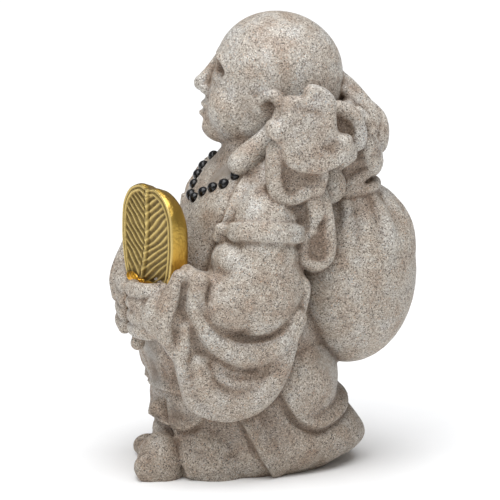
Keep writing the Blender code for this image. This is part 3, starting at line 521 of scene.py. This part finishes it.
def carve_sleeves(carving):
    """Cloth edges and creases: round the figure in (azimuth, z), or sighted from the side."""
    elbow = [
        (-15.4, 61), (-16.8, 56.7), (-16, 51.8), (-13.8, 47), (-9.6, 42.4), (-2, 39.8), (5.6, 40.8),
        (11.6, 44.3), (16, 50.9), (18.4, 58),
    ]
    below = [
        (-18.6, 45), (-17.4, 38), (-12.6, 31.4), (-6.4, 28.2), (0, 27.2), (5.4, 28.6), (10.4, 32.4),
        (13, 37),
    ]
    hollow = [(-21.2, 60.5), (-21.6, 56), (-22.3, 51), (-22.2, 46.5), (-20.6, 43)]
    branch = [(-23.4, 46.4), (-24, 42), (-24.2, 37.4)]
    near_edge = [(-19.2, 37), (-19.4, 31.5), (-20.2, 27)]
    edge = [(19, 58), (15.8, 44.5), (11.5, 33), (7, 24)]
    inner = [(-9.6, 71.4), (-11.8, 66.8), (-12.8, 63)]
    for look, turned in ((LEFT_LOOK, list), (RIGHT_LOOK, mirrored)):
        for points, width, depth, taper in (
            (elbow, 2.6, 0.9, 0.2), (below, 3, 0.9, 0.25), (hollow, 3, 1.3, 0.2),
            (branch, 2.6, 0.9, 0.4), (near_edge, 2.4, 0.7, 0.4), (edge, 2.4, 0.6, 0.2),
            (inner, 3.4, 1.1, 0.4),
        ):
            carving.press(carving.seen_from(look, turned(points)), width, depth, taper, sharp=True)
        carving.look_again()
    strap = [(-9.8, 74.4), (-4, 75), (2, 75), (9, 74.7), (15.5, 74.2)]
    path = np.concatenate(
        [
            carving.seen_from(LEFT_LOOK, strap),
            carving.met_round([(124, 80.6), (180, 80.5), (236, 80.6)]),
            carving.seen_from(RIGHT_LOOK, mirrored(strap)),
        ]
    )
    carving.press(path - (0, 0, 4), 3, 1.2, taper=0.02, sharp=True)
    carving.strip(path, 3, 2, lip=0.8)


def add_left_hand(clay):
    """A chubby fist round the fan's handle. Its back is one soft lump, with knuckles in front."""
    clay.ball((22.6, -33.8, 57), (8.8, 8.6, 9))
    clay.ball((17.5, -36.5, 56.6), (7, 7.2, 8.2))
    clay.ball((23.4, -31, 63.6), (4.4, 4.4, 5))
    clay.ball((25, -37, 58.6), (4, 4.6, 5), (0, 0, 25))
    clay.ball((25.6, -31.5, 52.4), (4.6, 5, 5.4))
    for finger in range(4):
        z = 64.9 - 4.6 * finger
        knuckle = (19.5, -40, z - 0.3, 2.7)
        joint = (13, -43 + 0.4 * finger, z - 0.8, 2.6)
        clay.roll([(21, -35, z, 2.7), knuckle, joint, (8.5, -41.6, z - 1, 2.3)])
    clay.roll([(20.5, -31.5, 65.6, 3), (15, -33.8, 67.4, 2.4), (10, -35, 67.2, 2.1)])
    clay.roll([(10, -39.4, 52, 1.8), (10, -40.6, 45, 2.4)])  # the end of the handle


def add_right_hand(clay):
    """Out of sight in the photo, so it is made to rest on the belly."""
    clay.ball((-17, -33, 56), (7.5, 6.5, 8))
    for finger in range(4):
        z = 62.5 - 4.5 * finger
        clay.roll([(-18, -37, z, 2.5), (-11.5, -40.3, z - 1, 2.5), (-5.5, -41, z - 2.5, 2.2)])
    clay.roll([(-19, -33, 63, 2.6), (-14.5, -36, 67, 2.4), (-11.5, -37, 69.5, 2.1)])


def fan_plane():
    """The upright plane of the leaf's face, with its origin at the leaf's middle."""
    return upright_plane(18, 39.2) @ Matrix.Translation((-1.4 * UNIT, 77.3 * UNIT, 0))


def fan_outline():
    """The palm leaf: an egg with a shallow dip at its tip, as (across, up) from its middle.

    It is drawn 31 units wide and 42 tall, and brought to size.
    """
    half = [
        (0, -21), (7.4, -19), (13, -11), (15.2, -2), (15.5, 6), (14.6, 12.6), (10.8, 18.2), (4.8, 20.9),
        (0, 20.2),
    ]
    wide, tall = FAN_WIDTH / UNIT / 31, FAN_HEIGHT / UNIT / 42
    right = [(wide * x, tall * z) for x, z in half]
    return right + [(-x, z) for x, z in reversed(right[1:-1])]


def add_fan(clay):
    """The leaf's back sits lower than its face, so its top edge slopes away."""
    slope = Matrix.Identity(4)
    slope[1][2] = 0.4
    clay.slab(fan_outline(), fan_plane() @ slope, FAN_THICKNESS / UNIT, 2)


def sack():
    """The full sack, gathered under its tie, as its own sculpture."""
    clay = Clay()
    clay.ball((6, 31, 64.4), (24, 23, 31))
    clay.ball((8, 33, 73), (21, 20.5, 22))
    clay.roll([(9, 30, 84, 15), (10, 30, 92, 10), (11, 28.5, 98, 8.5)])
    carving = Carving(clay.fused("sack", CLAY_GRAIN, 3))
    for pleat in (
        [(28.6, 90), (28.8, 82), (28.6, 74)],
        [(32.4, 90), (34.4, 82), (35.6, 72), (35.4, 62)],
        [(36.4, 90), (40.2, 83), (43, 74), (44, 65)],
        [(39.6, 91), (45, 84.6), (49, 76), (51, 67)],
    ):
        carving.press(carving.seen_from(LEFT_LOOK, pleat), 4.2, 2.3, taper=0.7, sharp=True)
    for turn in range(140, 410, 20):
        out = sight((turn, 0))[2]
        length = 20 + 5 * math.sin(turn * 1.3)
        crease = []
        for share in np.linspace(0, 1, 24):
            start = Vector((10 - 4 * share, 30.5, 95 - length * share)) + out * 100
            crease.append(carving.skin.ray_cast(start, -out)[0])
        carving.press(np.array(crease), 4.2, 2.3, taper=0.7, sharp=True)
    return carving.finished()


def mouth():
    """The sack's ties, its ruffled mouth above them and the tie's tail below."""
    clay = Clay()
    clay.roll([(11, 29, 92, 9), (12, 27.5, 98, 8), (13, 25, 105, 9.5), (14, 22, 110, 10)])
    for z, tilt, reach, radius in ((93.8, 0.8, 9.8, 1.8), (97.2, 3.8, 8.4, 2.2)):
        ring = []
        for i in range(13):
            turn = math.radians(30 * i - 10)
            x, y = 11 + reach * math.cos(turn), 29.5 + reach * math.sin(turn)
            ring.append((x, y, z + tilt * math.sin(turn), radius))
        clay.roll(ring)
    add_ruffles(clay)
    add_tails(clay)
    carving = Carving(clay.fused("mouth", CLAY_GRAIN, 2))
    for points, width, depth in (
        ([(29.4, 105.6), (27, 103.4), (25.4, 100.4)], 3.4, 1.1),
        ([(13, 115.6), (18, 114.4), (23.6, 112.4)], 3, 0.7),
        ([(20.6, 119.6), (22, 118.4), (24, 118)], 1.9, 0.7),
        ([(16.6, 97), (19.4, 96), (22, 96.6)], 2.6, 0.5),
    ):
        carving.press(carving.seen_from(LEFT_LOOK, points), width, depth)
    for tip in ((-26, 108), (-19, 117), (-10, 124), (-1, 127), (6, 123)):
        crease = [(-11, 100), (0.5 * (tip[0] - 12), 0.5 * (tip[1] + 101)), tip]
        carving.press(carving.seen_from(BACK_LOOK, crease), 2.8, 1.7, taper=0.1, sharp=True)
    return carving.finished()


def add_ruffles(clay):
    """The gathered mouth, petal behind petal, and the knot of cloth in front of them."""
    far = [
        (26.4, 128), (30.4, 125.6), (33.5, 123), (36.6, 120), (40.3, 116.2), (43.3, 112), (44.4, 107.2),
        (43.8, 102.2), (42, 100), (36, 100), (30, 106), (24, 118),
    ]
    second = [
        (30, 115), (36, 113.6), (39.4, 109), (39.6, 104), (37.6, 99.6), (34, 96), (28, 94), (22, 104),
    ]
    third = [
        (25, 116), (30.6, 115), (34.6, 111.6), (35.8, 106.8), (34.4, 102), (31.4, 98.4), (26, 96),
        (20, 104),
    ]
    for outline, azimuth, distance, thickness, edge in (
        (far, 60, -11.5, 7, 2.6),
        (second, 76, 9.6, 14, 2.6),
        (third, 82, 19.6, 12, 2.6),
    ):
        clay.flap(outline, LEFT_LOOK, azimuth, distance, thickness, edge)
    far_edge = [
        (30.6, 121.4, 1.7), (34.6, 118.2, 1.9), (38.2, 114.2, 2.1), (41, 109.6, 2.2), (41.8, 105, 2.2),
        (40.8, 102, 1.8),
    ]
    second_edge = [
        (35, 114, 2.2), (38.4, 110.6, 2.3), (39.4, 106.4, 2.4), (38.8, 102, 2.4), (36.4, 98.6, 2.4),
        (32.8, 96, 2.4), (28.4, 94.2, 2.2),
    ]
    third_edge = [
        (28.8, 115.2, 2.7), (32.2, 113.6, 2.9), (34.7, 110.8, 3), (35.4, 107, 3), (34.4, 103.2, 3),
        (32, 100.2, 3), (28.4, 97.4, 2.7),
    ]
    for line, azimuth, distance in (
        (far_edge, 60, -9.4), (second_edge, 76, 11.6), (third_edge, 82, 21.4)
    ):
        clay.rim(line, LEFT_LOOK, azimuth, distance)
    for centre, radii, turn in (
        ((14, 36, 106.5), (8, 5, 9.5), (12, 0, -8)),
        ((4.5, 33, 111), (8, 5, 10), (12, 0, 30)),
        ((-3, 26.5, 115), (7, 5, 9.5), (8, 0, 60)),
    ):
        clay.ball(centre, radii, turn)
    knot = [
        (5.6, 105.6), (5.3, 108.3), (6.6, 110.3), (9.2, 110.6), (10.6, 113), (10.9, 116), (12, 118.1),
        (14.5, 118.3), (17.4, 118.2), (18, 120.4), (20.2, 122), (23.4, 121.4), (26.7, 119.4),
        (28.4, 116.4), (28.4, 112), (28.8, 107.8), (30.2, 106.2), (32.8, 105.8), (33.9, 104),
        (33.2, 100.8), (31, 97.2), (27.6, 95), (23.2, 93.4), (17.8, 93.6), (13.4, 95.2), (10.9, 98.4),
        (9.6, 101.6), (8.4, 104),
    ]
    clay.flap(knot, LEFT_LOOK, 84, 34.8, 6, 2.4)
    clay.ball(beside(28.6, 19.6, 104.4), (7.8, 9.4, 10.6))
    clay.ball(beside(30, 20.6, 110), (6, 7.4, 7.6))
    clay.ball(beside(32.8, 22.8, 117.2), (4, 4.6, 4.4))
    clay.ball(beside(33, 8.6, 107.6), (3.2, 3, 3.2))
    clay.ball(beside(31.6, 30.6, 102.6), (3.4, 3.2, 4.4))


def add_tails(clay):
    """The tie's tail, doubled back on itself: two layers with rolled edges, a tongue and a round end."""
    upper = [
        (6.4, 102), (5.6, 96), (5.8, 90), (7, 85.6), (10, 83.4), (14.6, 83.6), (18.6, 85.6), (21.6, 87),
        (25, 89), (25.2, 96), (16, 101), (9, 103.5),
    ]
    under = [
        (8.2, 84.4), (8.6, 81), (11, 78), (15.2, 76.2), (19, 74.9), (21.6, 77), (19, 85), (13, 87),
    ]
    tongue = [
        (18.4, 84.6), (20.4, 86.6), (23.4, 86.6), (25, 84.2), (24.7, 80.4), (23, 77.4), (21, 74.6),
        (19.9, 75.6), (19.2, 80),
    ]
    end = [
        (19.4, 75.8), (16, 74.2), (14.4, 70.4), (15, 66), (17.6, 63), (21.4, 61.8), (25.2, 62.9),
        (27.6, 66), (28.6, 70.4), (28.2, 75.4), (27.4, 80), (26.6, 84.4), (25, 89), (22, 86),
        (22.4, 78),
    ]
    for outline, azimuth, distance, edge in (
        (upper, 86, 32.2, 2), (under, 88, 30.4, 1.6), (end, 90, 31, 1.8), (tongue, 90, 32.8, 1.8)
    ):
        clay.flap(outline, LEFT_LOOK, azimuth, distance, 6, edge)
    upper_edge = [
        (9, 101.4, 2.4), (8.4, 96, 2.7), (8.6, 90.8, 2.9), (10.6, 87, 2.9), (14.4, 86.4, 2.8),
        (18.4, 88, 2.5), (22.4, 89, 2.2),
    ]
    under_edge = [(10.2, 82, 1.5), (12, 79.6, 1.7), (15.6, 78, 1.7), (19, 77.2, 1.5)]
    end_edge = [
        (20.4, 75.8, 1.8), (17.6, 73.6, 2.1), (16.9, 69.8, 2.4), (18, 66.4, 2.6), (21.4, 64.8, 2.7),
        (24.6, 66.4, 2.6), (25.8, 70.2, 2.5), (25.6, 75.4, 2.4), (25.2, 80.4, 2.2), (24.6, 85, 1.8),
    ]
    for line, azimuth, distance in (
        (upper_edge, 86, 33.4), (under_edge, 88, 31), (end_edge, 90, 32.2)
    ):
        clay.rim(line, LEFT_LOOK, azimuth, distance)
    clay.roll([(23, 10, 96, 6), (22, 14, 84, 6), (22, 16, 74, 6)])
    clay.ball(beside(23, 26.4, 90), (4, 5, 6))


def mark_relief(mesh, rounds, depth):
    """Stores each point's relief: 0 where it lies depth below what is round it, 1 that far above."""
    places, out = points_of(mesh)
    ends = np.empty(len(mesh.edges) * 2, np.int32)
    mesh.edges.foreach_get("vertices", ends)
    a, b = ends.reshape(-1, 2).T
    count = len(places)
    degree = np.bincount(ends, minlength=count)
    soft = places.astype(float)
    for _ in range(rounds):
        for column in soft.T:
            column[:] = (np.bincount(a, column[b], count) + np.bincount(b, column[a], count)) / degree
    rise = ((places - soft) * out).sum(1)
    store(mesh, "relief", np.clip(0.5 + 0.5 * rise / depth, 0, 1))


def store(mesh, name, values):
    """Keeps one value a point, for the material to read."""
    mesh.attributes.new(name, "FLOAT", "POINT").data.foreach_set("value", values.astype(np.float32))


def show(mesh, name, material):
    """Puts a finished mesh into the scene as a piece of the object."""
    mesh.shade_smooth()
    piece = placed(name, mesh)
    mesh.materials.append(material)
    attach(piece, "root")
    return piece


def thinned(mesh, most):
    """The mesh brought down to that many triangles."""
    helper = placed("helper", mesh)
    thin = helper.modifiers.new("thin", "DECIMATE")
    thin.ratio = min(1, most / sum(len(face.vertices) - 2 for face in mesh.polygons))
    return solid_of(helper)


def cut_at_ground(mesh):
    """Cuts the underside flat and closes it."""
    shape = bmesh.new()
    shape.from_mesh(mesh)
    everything = [*shape.verts, *shape.edges, *shape.faces]
    cut = bmesh.ops.bisect_plane(
        shape, geom=everything, plane_co=(0, 0, 0), plane_no=(0, 0, -1), clear_outer=True
    )
    edges = [item for item in cut["geom_cut"] if isinstance(item, bmesh.types.BMEdge)]
    bmesh.ops.holes_fill(shape, edges=edges, sides=0)
    bmesh.ops.triangulate(shape, faces=[face for face in shape.faces if len(face.verts) > 4])
    shape.to_mesh(mesh)
    shape.free()


def fan_relief(across, up, margin):
    """How far the leaf's front stands out at a place that is margin inside its edge."""

    def line(gap, width):
        return np.exp(-((gap / width) ** 2))

    across = across + 4.5 * np.clip((5 - up) / 20, 0, 1) ** 1.5  # the rib bends towards the thumb
    field = np.clip((margin - 3) / 0.5, 0, 1)
    uneven = 0.45 * np.sin(0.4 * up) + 0.16 * np.sin(1.1 * up - 0.15 * across)
    vein = up - np.abs(across) ** 1.08 * math.tan(math.radians(VEIN_RISE)) + uneven
    ridge = np.cos(2 * math.pi * vein / (VEIN_PITCH / UNIT)) * 0.5 + 0.5
    rise = 0.3 * line(margin - 1.1, 0.45) - 0.16 * line(margin - 1.9, 0.4)
    rise += 0.26 * line(margin - 2.6, 0.32)
    rise += field * (0.36 * ridge**1.8 - 0.24)
    rib = np.clip(margin / 2, 0, 1)
    rise += rib * (0.55 * line(across, 0.75) - 0.18 * line(np.abs(across) - 1.5, 0.45))
    return rise


def gilded_fan():
    """The palm leaf with its rim, rib and veins, and the paint run on to the fingers."""
    clay = Clay()
    add_fan(clay)
    clay.frame = fan_plane()
    for centre, radii in (
        ((-8.4, -11.6, 0.2), (3.2, 1.5, 1.1)), ((-3.6, -12.4, 0.2), (3, 1.2, 1)),
        ((2, -12, 0.1), (3, 0.9, 0.8)), ((13.6, -7.6, -4.4), (1.5, 1.7, 2.6)),
        ((12.6, -8.8, -1), (1.8, 1.3, 1.2)),
    ):
        clay.ball(centre, radii)
    mesh = clay.fused("gilded_fan", FAN_GRAIN, 2)
    places, out = points_of(mesh)
    plane = np.array(fan_plane())
    flat = (places - plane[:3, 3]) @ plane[:3, :3] / UNIT
    facing = out @ plane[:3, 2]
    outline = np.array(smooth_line(fan_outline(), closed=True, step=0.3))
    margin = []
    for part in np.array_split(flat[:, None, :2], 40):  # a few at a time, to save memory
        margin.append(np.linalg.norm(part - outline, axis=2).min(1))
    margin = np.concatenate(margin)
    front = np.clip((facing - 0.5) / 0.3, 0, 1) * (flat[:, 2] > -2)
    rise = fan_relief(flat[:, 0], flat[:, 1], margin) * front
    back_rib = 0.5 * np.exp(-((flat[:, 0] / 1.2) ** 2)) * np.clip(margin / 3, 0, 1)
    rise += back_rib * np.clip((-facing - 0.5) / 0.3, 0, 1)
    places += (rise * UNIT)[:, None] * out
    mesh.vertices.foreach_set("co", places.ravel())
    mesh.update()
    # the relief feeds the gold's dark wash and its painted highlight on the ridges
    mark_relief(mesh, rounds=25, depth=0.4 * UNIT)
    store(mesh, "leaf_face", front * np.clip((margin - 0.4) / 0.8, 0, 1) * (flat[:, 2] < 0.25))
    return mesh


def bead_string(carving):
    """Round beads half sunk in the robe, pitch after pitch round the neck."""
    half = [
        (66, 101.4), (58, 100), (50, 97.8), (38, 96), (27, 94.8), (18, 93.2), (9, 91.4), (0, 89.4)
    ]  # from where the collar covers it to the front
    path = carving.met_round(half + mirrored(half[:-1]), step=0.3)
    steps = np.linalg.norm(np.diff(path, axis=0), axis=1)
    along = np.concatenate([[0], np.cumsum(steps)])
    count = int(along[-1] / (BEAD_PITCH / UNIT))
    radius = BEAD_DIAMETER / UNIT / 2
    chance = np.random.default_rng(7)
    shape = bmesh.new()
    for i in range(count):
        at = (i + 0.5) * along[-1] / count
        spot, ahead = (
            np.array([np.interp(place, along, axis) for axis in path.T]) for place in (at, at + 0.5)
        )
        turn = Vector(ahead - spot).to_track_quat("X", "Z").to_matrix().to_4x4()
        wide = radius * chance.uniform(0.94, 1.05)
        size = Matrix.Diagonal((wide * UNIT * 1.06, wide * UNIT, wide * UNIT, 1))
        place = Matrix.Translation(Vector(spot) * UNIT) @ turn @ size
        bmesh.ops.create_uvsphere(shape, u_segments=24, v_segments=14, radius=1, matrix=place)
    mesh = bpy.data.meshes.new("bead_string")
    shape.to_mesh(mesh)
    shape.free()
    return mesh


def bare_patches(mesh):
    """Where the resin is drawn as plain grey binder with few grains: 1 in the middle of such a patch."""
    carving = Carving(mesh)
    bare = np.zeros(len(mesh.vertices))
    for points, width, share in (
        ([(-12, 91.6), (-9.6, 94.2), (-6.6, 94.8)], 3.6, 0.9),
        ([(-33, 39), (-31.8, 33), (-30.4, 26)], 4.5, 0.65),
        ([(-26, 18), (-24.5, 14)], 3.4, 0.5),
        ([(24, 33), (28, 30), (30, 25)], 6, 0.5),
    ):
        spots, gap, _ = carving.near(carving.seen_from(LEFT_LOOK, points), width)
        bare[spots] = np.maximum(bare[spots], share * np.clip(2 - 2 * gap / width, 0, 1))
    return bare


def linear(colour):
    """An sRGB hex colour as linear red, green, blue and alpha."""
    shares = [int(colour[i : i + 2], 16) / 255 for i in (1, 3, 5)]
    return (*(s / 12.92 if s <= 0.04045 else ((s + 0.055) / 1.055) ** 2.4 for s in shares), 1)


def add_node(tree, kind, settings=(), links=()):
    """One node with its settings and what feeds its sockets. Stops are (place, colour) pairs."""
    made = tree.nodes.new(kind)
    for name, value in dict(settings).items():
        if name == "stops":
            stops = made.color_ramp.elements
            stops.remove(stops[-1])
            for i, (place, colour) in enumerate(value):
                stop = stops.new(place) if i else stops[0]
                stop.position = place
                stop.color = linear(colour)
        elif name == "spread":
            made.color_ramp.interpolation = value
        elif isinstance(name, int) or name in made.inputs:
            made.inputs[name].default_value = value
        else:
            setattr(made, name, value)
    for name, source in dict(links).items():
        tree.links.new(source, made.inputs[name])
    return made


def feed(tree, shader, sources):
    """Feeds the shader's sockets by their names."""
    for name, source in sources.items():
        tree.links.new(source, shader.inputs[name])


def blank_material(name):
    """A material with its own shader, and the tree and shader to build on."""
    material = bpy.data.materials.new(name)
    material.use_nodes = True
    tree = material.node_tree
    return material, tree, tree.nodes["Principled BSDF"]


def sand_filled_resin():
    """Polyester resin with graded sand stirred in, cast in a rubber mould.

    The eye gets fine grains of many stone colours in a warm grey binder, browner in the hollows, partly
    where the wash stays and partly as painted shade, paler on rubbed edges, darker low down as painted
    shade, and a low sheen with a few glinting grains.
    """
    material, tree, shader = blank_material("sand_filled_resin")
    place = add_node(tree, "ShaderNodeTexCoord").outputs["Object"]
    relief = add_node(tree, "ShaderNodeAttribute", {"attribute_name": "relief"}).outputs["Fac"]
    bare = add_node(tree, "ShaderNodeAttribute", {"attribute_name": "bare_binder"}).outputs["Fac"]
    grains = add_node(tree, "ShaderNodeTexVoronoi", {"Scale": 1 / SAND_GRAIN}, {"Vector": place})
    chance = add_node(tree, "ShaderNodeSeparateColor", {}, {"Color": grains.outputs["Color"]})
    stones = [
        (0, "#635B55"), (0.05, "#8A827B"), (0.16, "#ABA49D"), (0.36, "#BFB9B2"), (0.62, "#D0CBC4"),
        (0.86, "#E9E6E1"), (0.975, "#CCB4A2"), (0.99, "#A9B1B7"),
    ]
    by_grain = {"spread": "CONSTANT", "stops": stones}
    stone = add_node(tree, "ShaderNodeValToRGB", by_grain, {"Fac": chance.outputs["Red"]})
    clear = {"data_type": "RGBA", 7: linear("#A6A29D")}
    binder = add_node(tree, "ShaderNodeMix", clear, {0: bare, 6: stone.outputs["Color"]})
    clouds = {"Scale": 1 / PATCH, "Detail": 3.0, "Roughness": 0.6}
    patches = add_node(tree, "ShaderNodeTexNoise", clouds, {"Vector": place})
    low = add_node(tree, "ShaderNodeSeparateXYZ", {}, {"Vector": place})
    # painted shade: the resin's colour darkens towards the ground
    painted_shade_by_height = add_node(
        tree,
        "ShaderNodeMapRange",
        {"From Min": 0.0, "From Max": PAINTED_SHADE_TO, "To Min": 0.0, "To Max": 1.0},
        {"Value": low.outputs["Z"]},
    )
    colour = binder.outputs[2]
    over = {"data_type": "RGBA", "blend_type": "MULTIPLY", 0: 1.0}
    for value, stops in (
        (patches.outputs["Fac"], [(0.34, "#DDD0C6"), (0.5, "#F2EEEA"), (0.66, "#FAFCFF")]),
        (relief, [(0, "#8F7F70"), (0.3, "#C9BDB1"), (0.5, "#ECE9E5"), (0.7, "#FFFEFA")]),
        # hollows darker and browner, partly a wash of dirt and partly painted shade; rubbed ridges paler
        (
            # painted shade, darker towards the ground
            painted_shade_by_height.outputs["Result"],
            [(0, "#D6CFC8"), (0.25, "#ECE8E4"), (0.6, "#F5F4F2"), (1, "#FFFFFF")],
        ),
    ):
        tint = add_node(tree, "ShaderNodeValToRGB", {"stops": stops}, {"Fac": value})
        layers = {6: colour, 7: tint.outputs["Color"]}
        colour = add_node(tree, "ShaderNodeMix", over, layers).outputs[2]
    sheen = add_node(
        tree,
        "ShaderNodeMapRange",
        {"From Min": 0.0, "From Max": 1.0, "To Min": 0.42, "To Max": 0.78},
        {"Value": chance.outputs["Green"]},
    )
    raised = {"Strength": 0.5, "Distance": GRAIN_DEPTH}
    bumps = add_node(tree, "ShaderNodeBump", raised, {"Height": grains.outputs["Distance"]})
    feed(
        tree,
        shader,
        {
            "Base Color": colour,
            "Roughness": sheen.outputs["Result"],
            "Normal": bumps.outputs["Normal"],
        },
    )
    shader.inputs["IOR"].default_value = RESIN_IOR
    return material


def antique_gold_paint():
    """Metallic gold paint, brushed on, with a dark wash wiped off the leaf's face.

    The eye gets warm bright metal on the thick edge, more orange low down, and a dull olive gold face
    whose rim, rib and veins are lighter, partly where the wash is wiped off and partly as painted
    highlight.
    """
    material, tree, shader = blank_material("antique_gold_paint")
    place = add_node(tree, "ShaderNodeTexCoord").outputs["Object"]
    relief = add_node(tree, "ShaderNodeAttribute", {"attribute_name": "relief"}).outputs["Fac"]
    face = add_node(tree, "ShaderNodeAttribute", {"attribute_name": "leaf_face"}).outputs["Fac"]
    brushed = {"Scale": 1 / GILT_MOTTLE, "Detail": 4.0, "Roughness": 0.6}
    mottle = add_node(tree, "ShaderNodeTexNoise", brushed, {"Vector": place})
    uneven = {"operation": "MULTIPLY_ADD", 1: 0.22}
    height = add_node(tree, "ShaderNodeMath", uneven, {0: mottle.outputs["Fac"], 2: relief})
    # olive face: dark wash in the grooves; lighter on rim, rib and veins, partly wiped wash and partly
    # painted highlight
    olives = [(0.42, "#6F5D36"), (0.56, "#978250"), (0.68, "#B79F62"), (0.86, "#DCC583")]
    olive = add_node(tree, "ShaderNodeValToRGB", {"stops": olives}, {"Fac": height.outputs["Value"]})
    low = add_node(tree, "ShaderNodeSeparateXYZ", {}, {"Vector": place})
    gold = add_node(
        tree,
        "ShaderNodeMapRange",
        {"From Min": ORANGE_TO, "From Max": YELLOW_FROM, "To Min": 0.0, "To Max": 1.0},
        {"Value": low.outputs["Z"]},
    )
    golds = [(0, "#E5A938"), (0.4, "#CF9C3C"), (1, "#C2A04F")]
    bright = add_node(tree, "ShaderNodeValToRGB", {"stops": golds}, {"Fac": gold.outputs["Result"]})
    layers = {0: face, 6: bright.outputs["Color"], 7: olive.outputs["Color"]}
    paint = add_node(tree, "ShaderNodeMix", {"data_type": "RGBA"}, layers)
    dull = add_node(
        tree,
        "ShaderNodeMapRange",
        {"From Min": 0.0, "From Max": 1.0, "To Min": 0.36, "To Max": 0.52},
        {"Value": face},
    )
    lumps = {"Scale": 1 / GILT_GRIT, "Detail": 4.0}
    grit = add_node(tree, "ShaderNodeTexNoise", lumps, {"Vector": place})
    raised = {"Strength": 0.9, "Distance": GILT_DEPTH}
    bumps = add_node(tree, "ShaderNodeBump", raised, {"Height": grit.outputs["Fac"]})
    feed(
        tree,
        shader,
        {
            "Base Color": paint.outputs[2],
            "Roughness": dull.outputs["Result"],
            "Normal": bumps.outputs["Normal"],
        },
    )
    shader.inputs["Metallic"].default_value = 1.0
    return material


def black_gloss_enamel():
    """Black enamel dabbed on the cast beads.

    The eye gets a deep black with one small sharp highlight on each bead.
    """
    material, tree, shader = blank_material("black_gloss_enamel")
    place = add_node(tree, "ShaderNodeTexCoord").outputs["Object"]
    dabs = {"Scale": 1 / ENAMEL_DABS, "Detail": 2.0}
    uneven = add_node(tree, "ShaderNodeTexNoise", dabs, {"Vector": place})
    blacks = [(0.3, "#0B0B0D"), (0.75, "#1D1D20")]
    black = add_node(tree, "ShaderNodeValToRGB", {"stops": blacks}, {"Fac": uneven.outputs["Fac"]})
    gloss = add_node(
        tree,
        "ShaderNodeMapRange",
        {"From Min": 0.3, "From Max": 0.7, "To Min": 0.12, "To Max": 0.26},
        {"Value": uneven.outputs["Fac"]},
    )
    feed(tree, shader, {"Base Color": black.outputs["Color"], "Roughness": gloss.outputs["Result"]})
    shader.inputs["IOR"].default_value = ENAMEL_IOR
    return material


def pale_card():
    """Matt white card: an even pale ground with almost no texture."""
    material, tree, shader = blank_material("pale_card")
    scale = 2 * FLOOR_REACH / CARD_CLOUDS  # the noise's coordinates go from 0 to 1 across the floor
    clouds = add_node(tree, "ShaderNodeTexNoise", {"Scale": scale, "Detail": 1.0})
    whites = [(0.3, "#FAFAF9"), (0.7, "#FCFCFB")]
    tone = add_node(tree, "ShaderNodeValToRGB", {"stops": whites}, {"Fac": clouds.outputs["Fac"]})
    feed(tree, shader, {"Base Color": tone.outputs["Color"]})
    shader.inputs["Roughness"].default_value = 0.9
    return material


def casting():
    """The whole figure but for the fan, and the surface that the beads lie on."""
    clay = Clay()
    add_body(clay)
    carving = Carving(clay.fused("robe", CLAY_GRAIN, 6))
    carve_body(carving)
    clay = Clay()
    clay.add_mesh(carving.finished())
    add_sleeves(clay)
    carving = Carving(clay.fused("dressed", CLAY_GRAIN, 2))
    carve_sleeves(carving)
    clay = Clay()
    for mesh in (carving.finished().copy(), sack(), mouth(), head()):
        clay.add_mesh(mesh)
    collar = [(9, -10, 97.5, 2), (15.5, -2, 101.5, 3), (12, 8, 104.5, 3.2), (0, 12, 105.5, 3.4)]
    clay.roll(collar + [(-x, y, z, r) for x, y, z, r in reversed(collar[:-1])])
    add_feet(clay)
    add_left_hand(clay)
    add_right_hand(clay)
    whole = thinned(clay.fused("resin_figure", CLAY_GRAIN, 2), FACETS)
    cut_at_ground(whole)
    # the relief drives the resin's browner hollows: partly a wash, partly painted shade
    mark_relief(whole, rounds=40, depth=1.2 * UNIT)
    store(whole, "bare_binder", bare_patches(whole))
    return whole, carving


def studio():
    """A pale floor, a big soft light overhead and an even white surround."""
    floor = bpy.data.meshes.new("floor")
    shape = bmesh.new()
    bmesh.ops.create_grid(shape, x_segments=2, y_segments=2, size=FLOOR_REACH)
    shape.to_mesh(floor)
    shape.free()
    floor.materials.append(pale_card())
    placed("floor", floor)
    world = bpy.data.worlds.new("white_surround")
    bpy.context.scene.world = world
    world.use_nodes = True
    background = world.node_tree.nodes["Background"].inputs
    background["Color"].default_value = linear("#FFFFFF")
    background["Strength"].default_value = SURROUND
    across, up, back = sight(LEFT_LOOK)
    middle = up * PICTURE_MIDDLE
    high = Vector((0, 0, 1))
    from_front = back * 0.5 - across * 0.3 + high * 0.45  # m
    spread = math.radians(OVERHEAD_SPREAD)
    for name, kind, place, extent, width, strength, tint in (
        ("overhead", "SUN", back * 0.15 + high, "angle", spread, OVERHEAD, "#FBFCFF"),
        ("soft_front", "AREA", from_front, "size", FRONT_WIDTH, FRONT_LIGHT, "#FFFFFF"),
    ):
        data = bpy.data.lights.new(name, kind)
        setattr(data, extent, width)
        data.energy = strength
        data.color = linear(tint)[:3]
        lamp = placed(name, data)
        lamp.location = place
        lamp.rotation_mode = "QUATERNION"
        lamp.rotation_quaternion = (place - middle).to_track_quat("Z", "Y")
    bpy.context.scene.view_settings.view_transform = "Standard"


def camera():
    """The photo's view, from the figure's left and a little above, through a long lens."""
    across, up, back = sight(LEFT_LOOK)
    data = bpy.data.cameras.new("camera")
    data.lens = CAMERA_LENS
    data.sensor_width = SENSOR_WIDTH
    distance = PICTURE_WIDTH * CAMERA_LENS / SENSOR_WIDTH
    data.clip_end = 20  # m
    made = placed("camera", data)
    made.location = up * PICTURE_MIDDLE + back * distance
    made.rotation_mode = "QUATERNION"
    made.rotation_quaternion = back.to_track_quat("Z", "Y")
    bpy.context.scene.camera = made


camera()
studio()
figure_mesh, dressed = casting()
figure = show(figure_mesh, "resin_figure", sand_filled_resin())
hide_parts("statue")
show(gilded_fan(), "gilded_fan", antique_gold_paint())
show(bead_string(dressed), "bead_string", black_gloss_enamel())
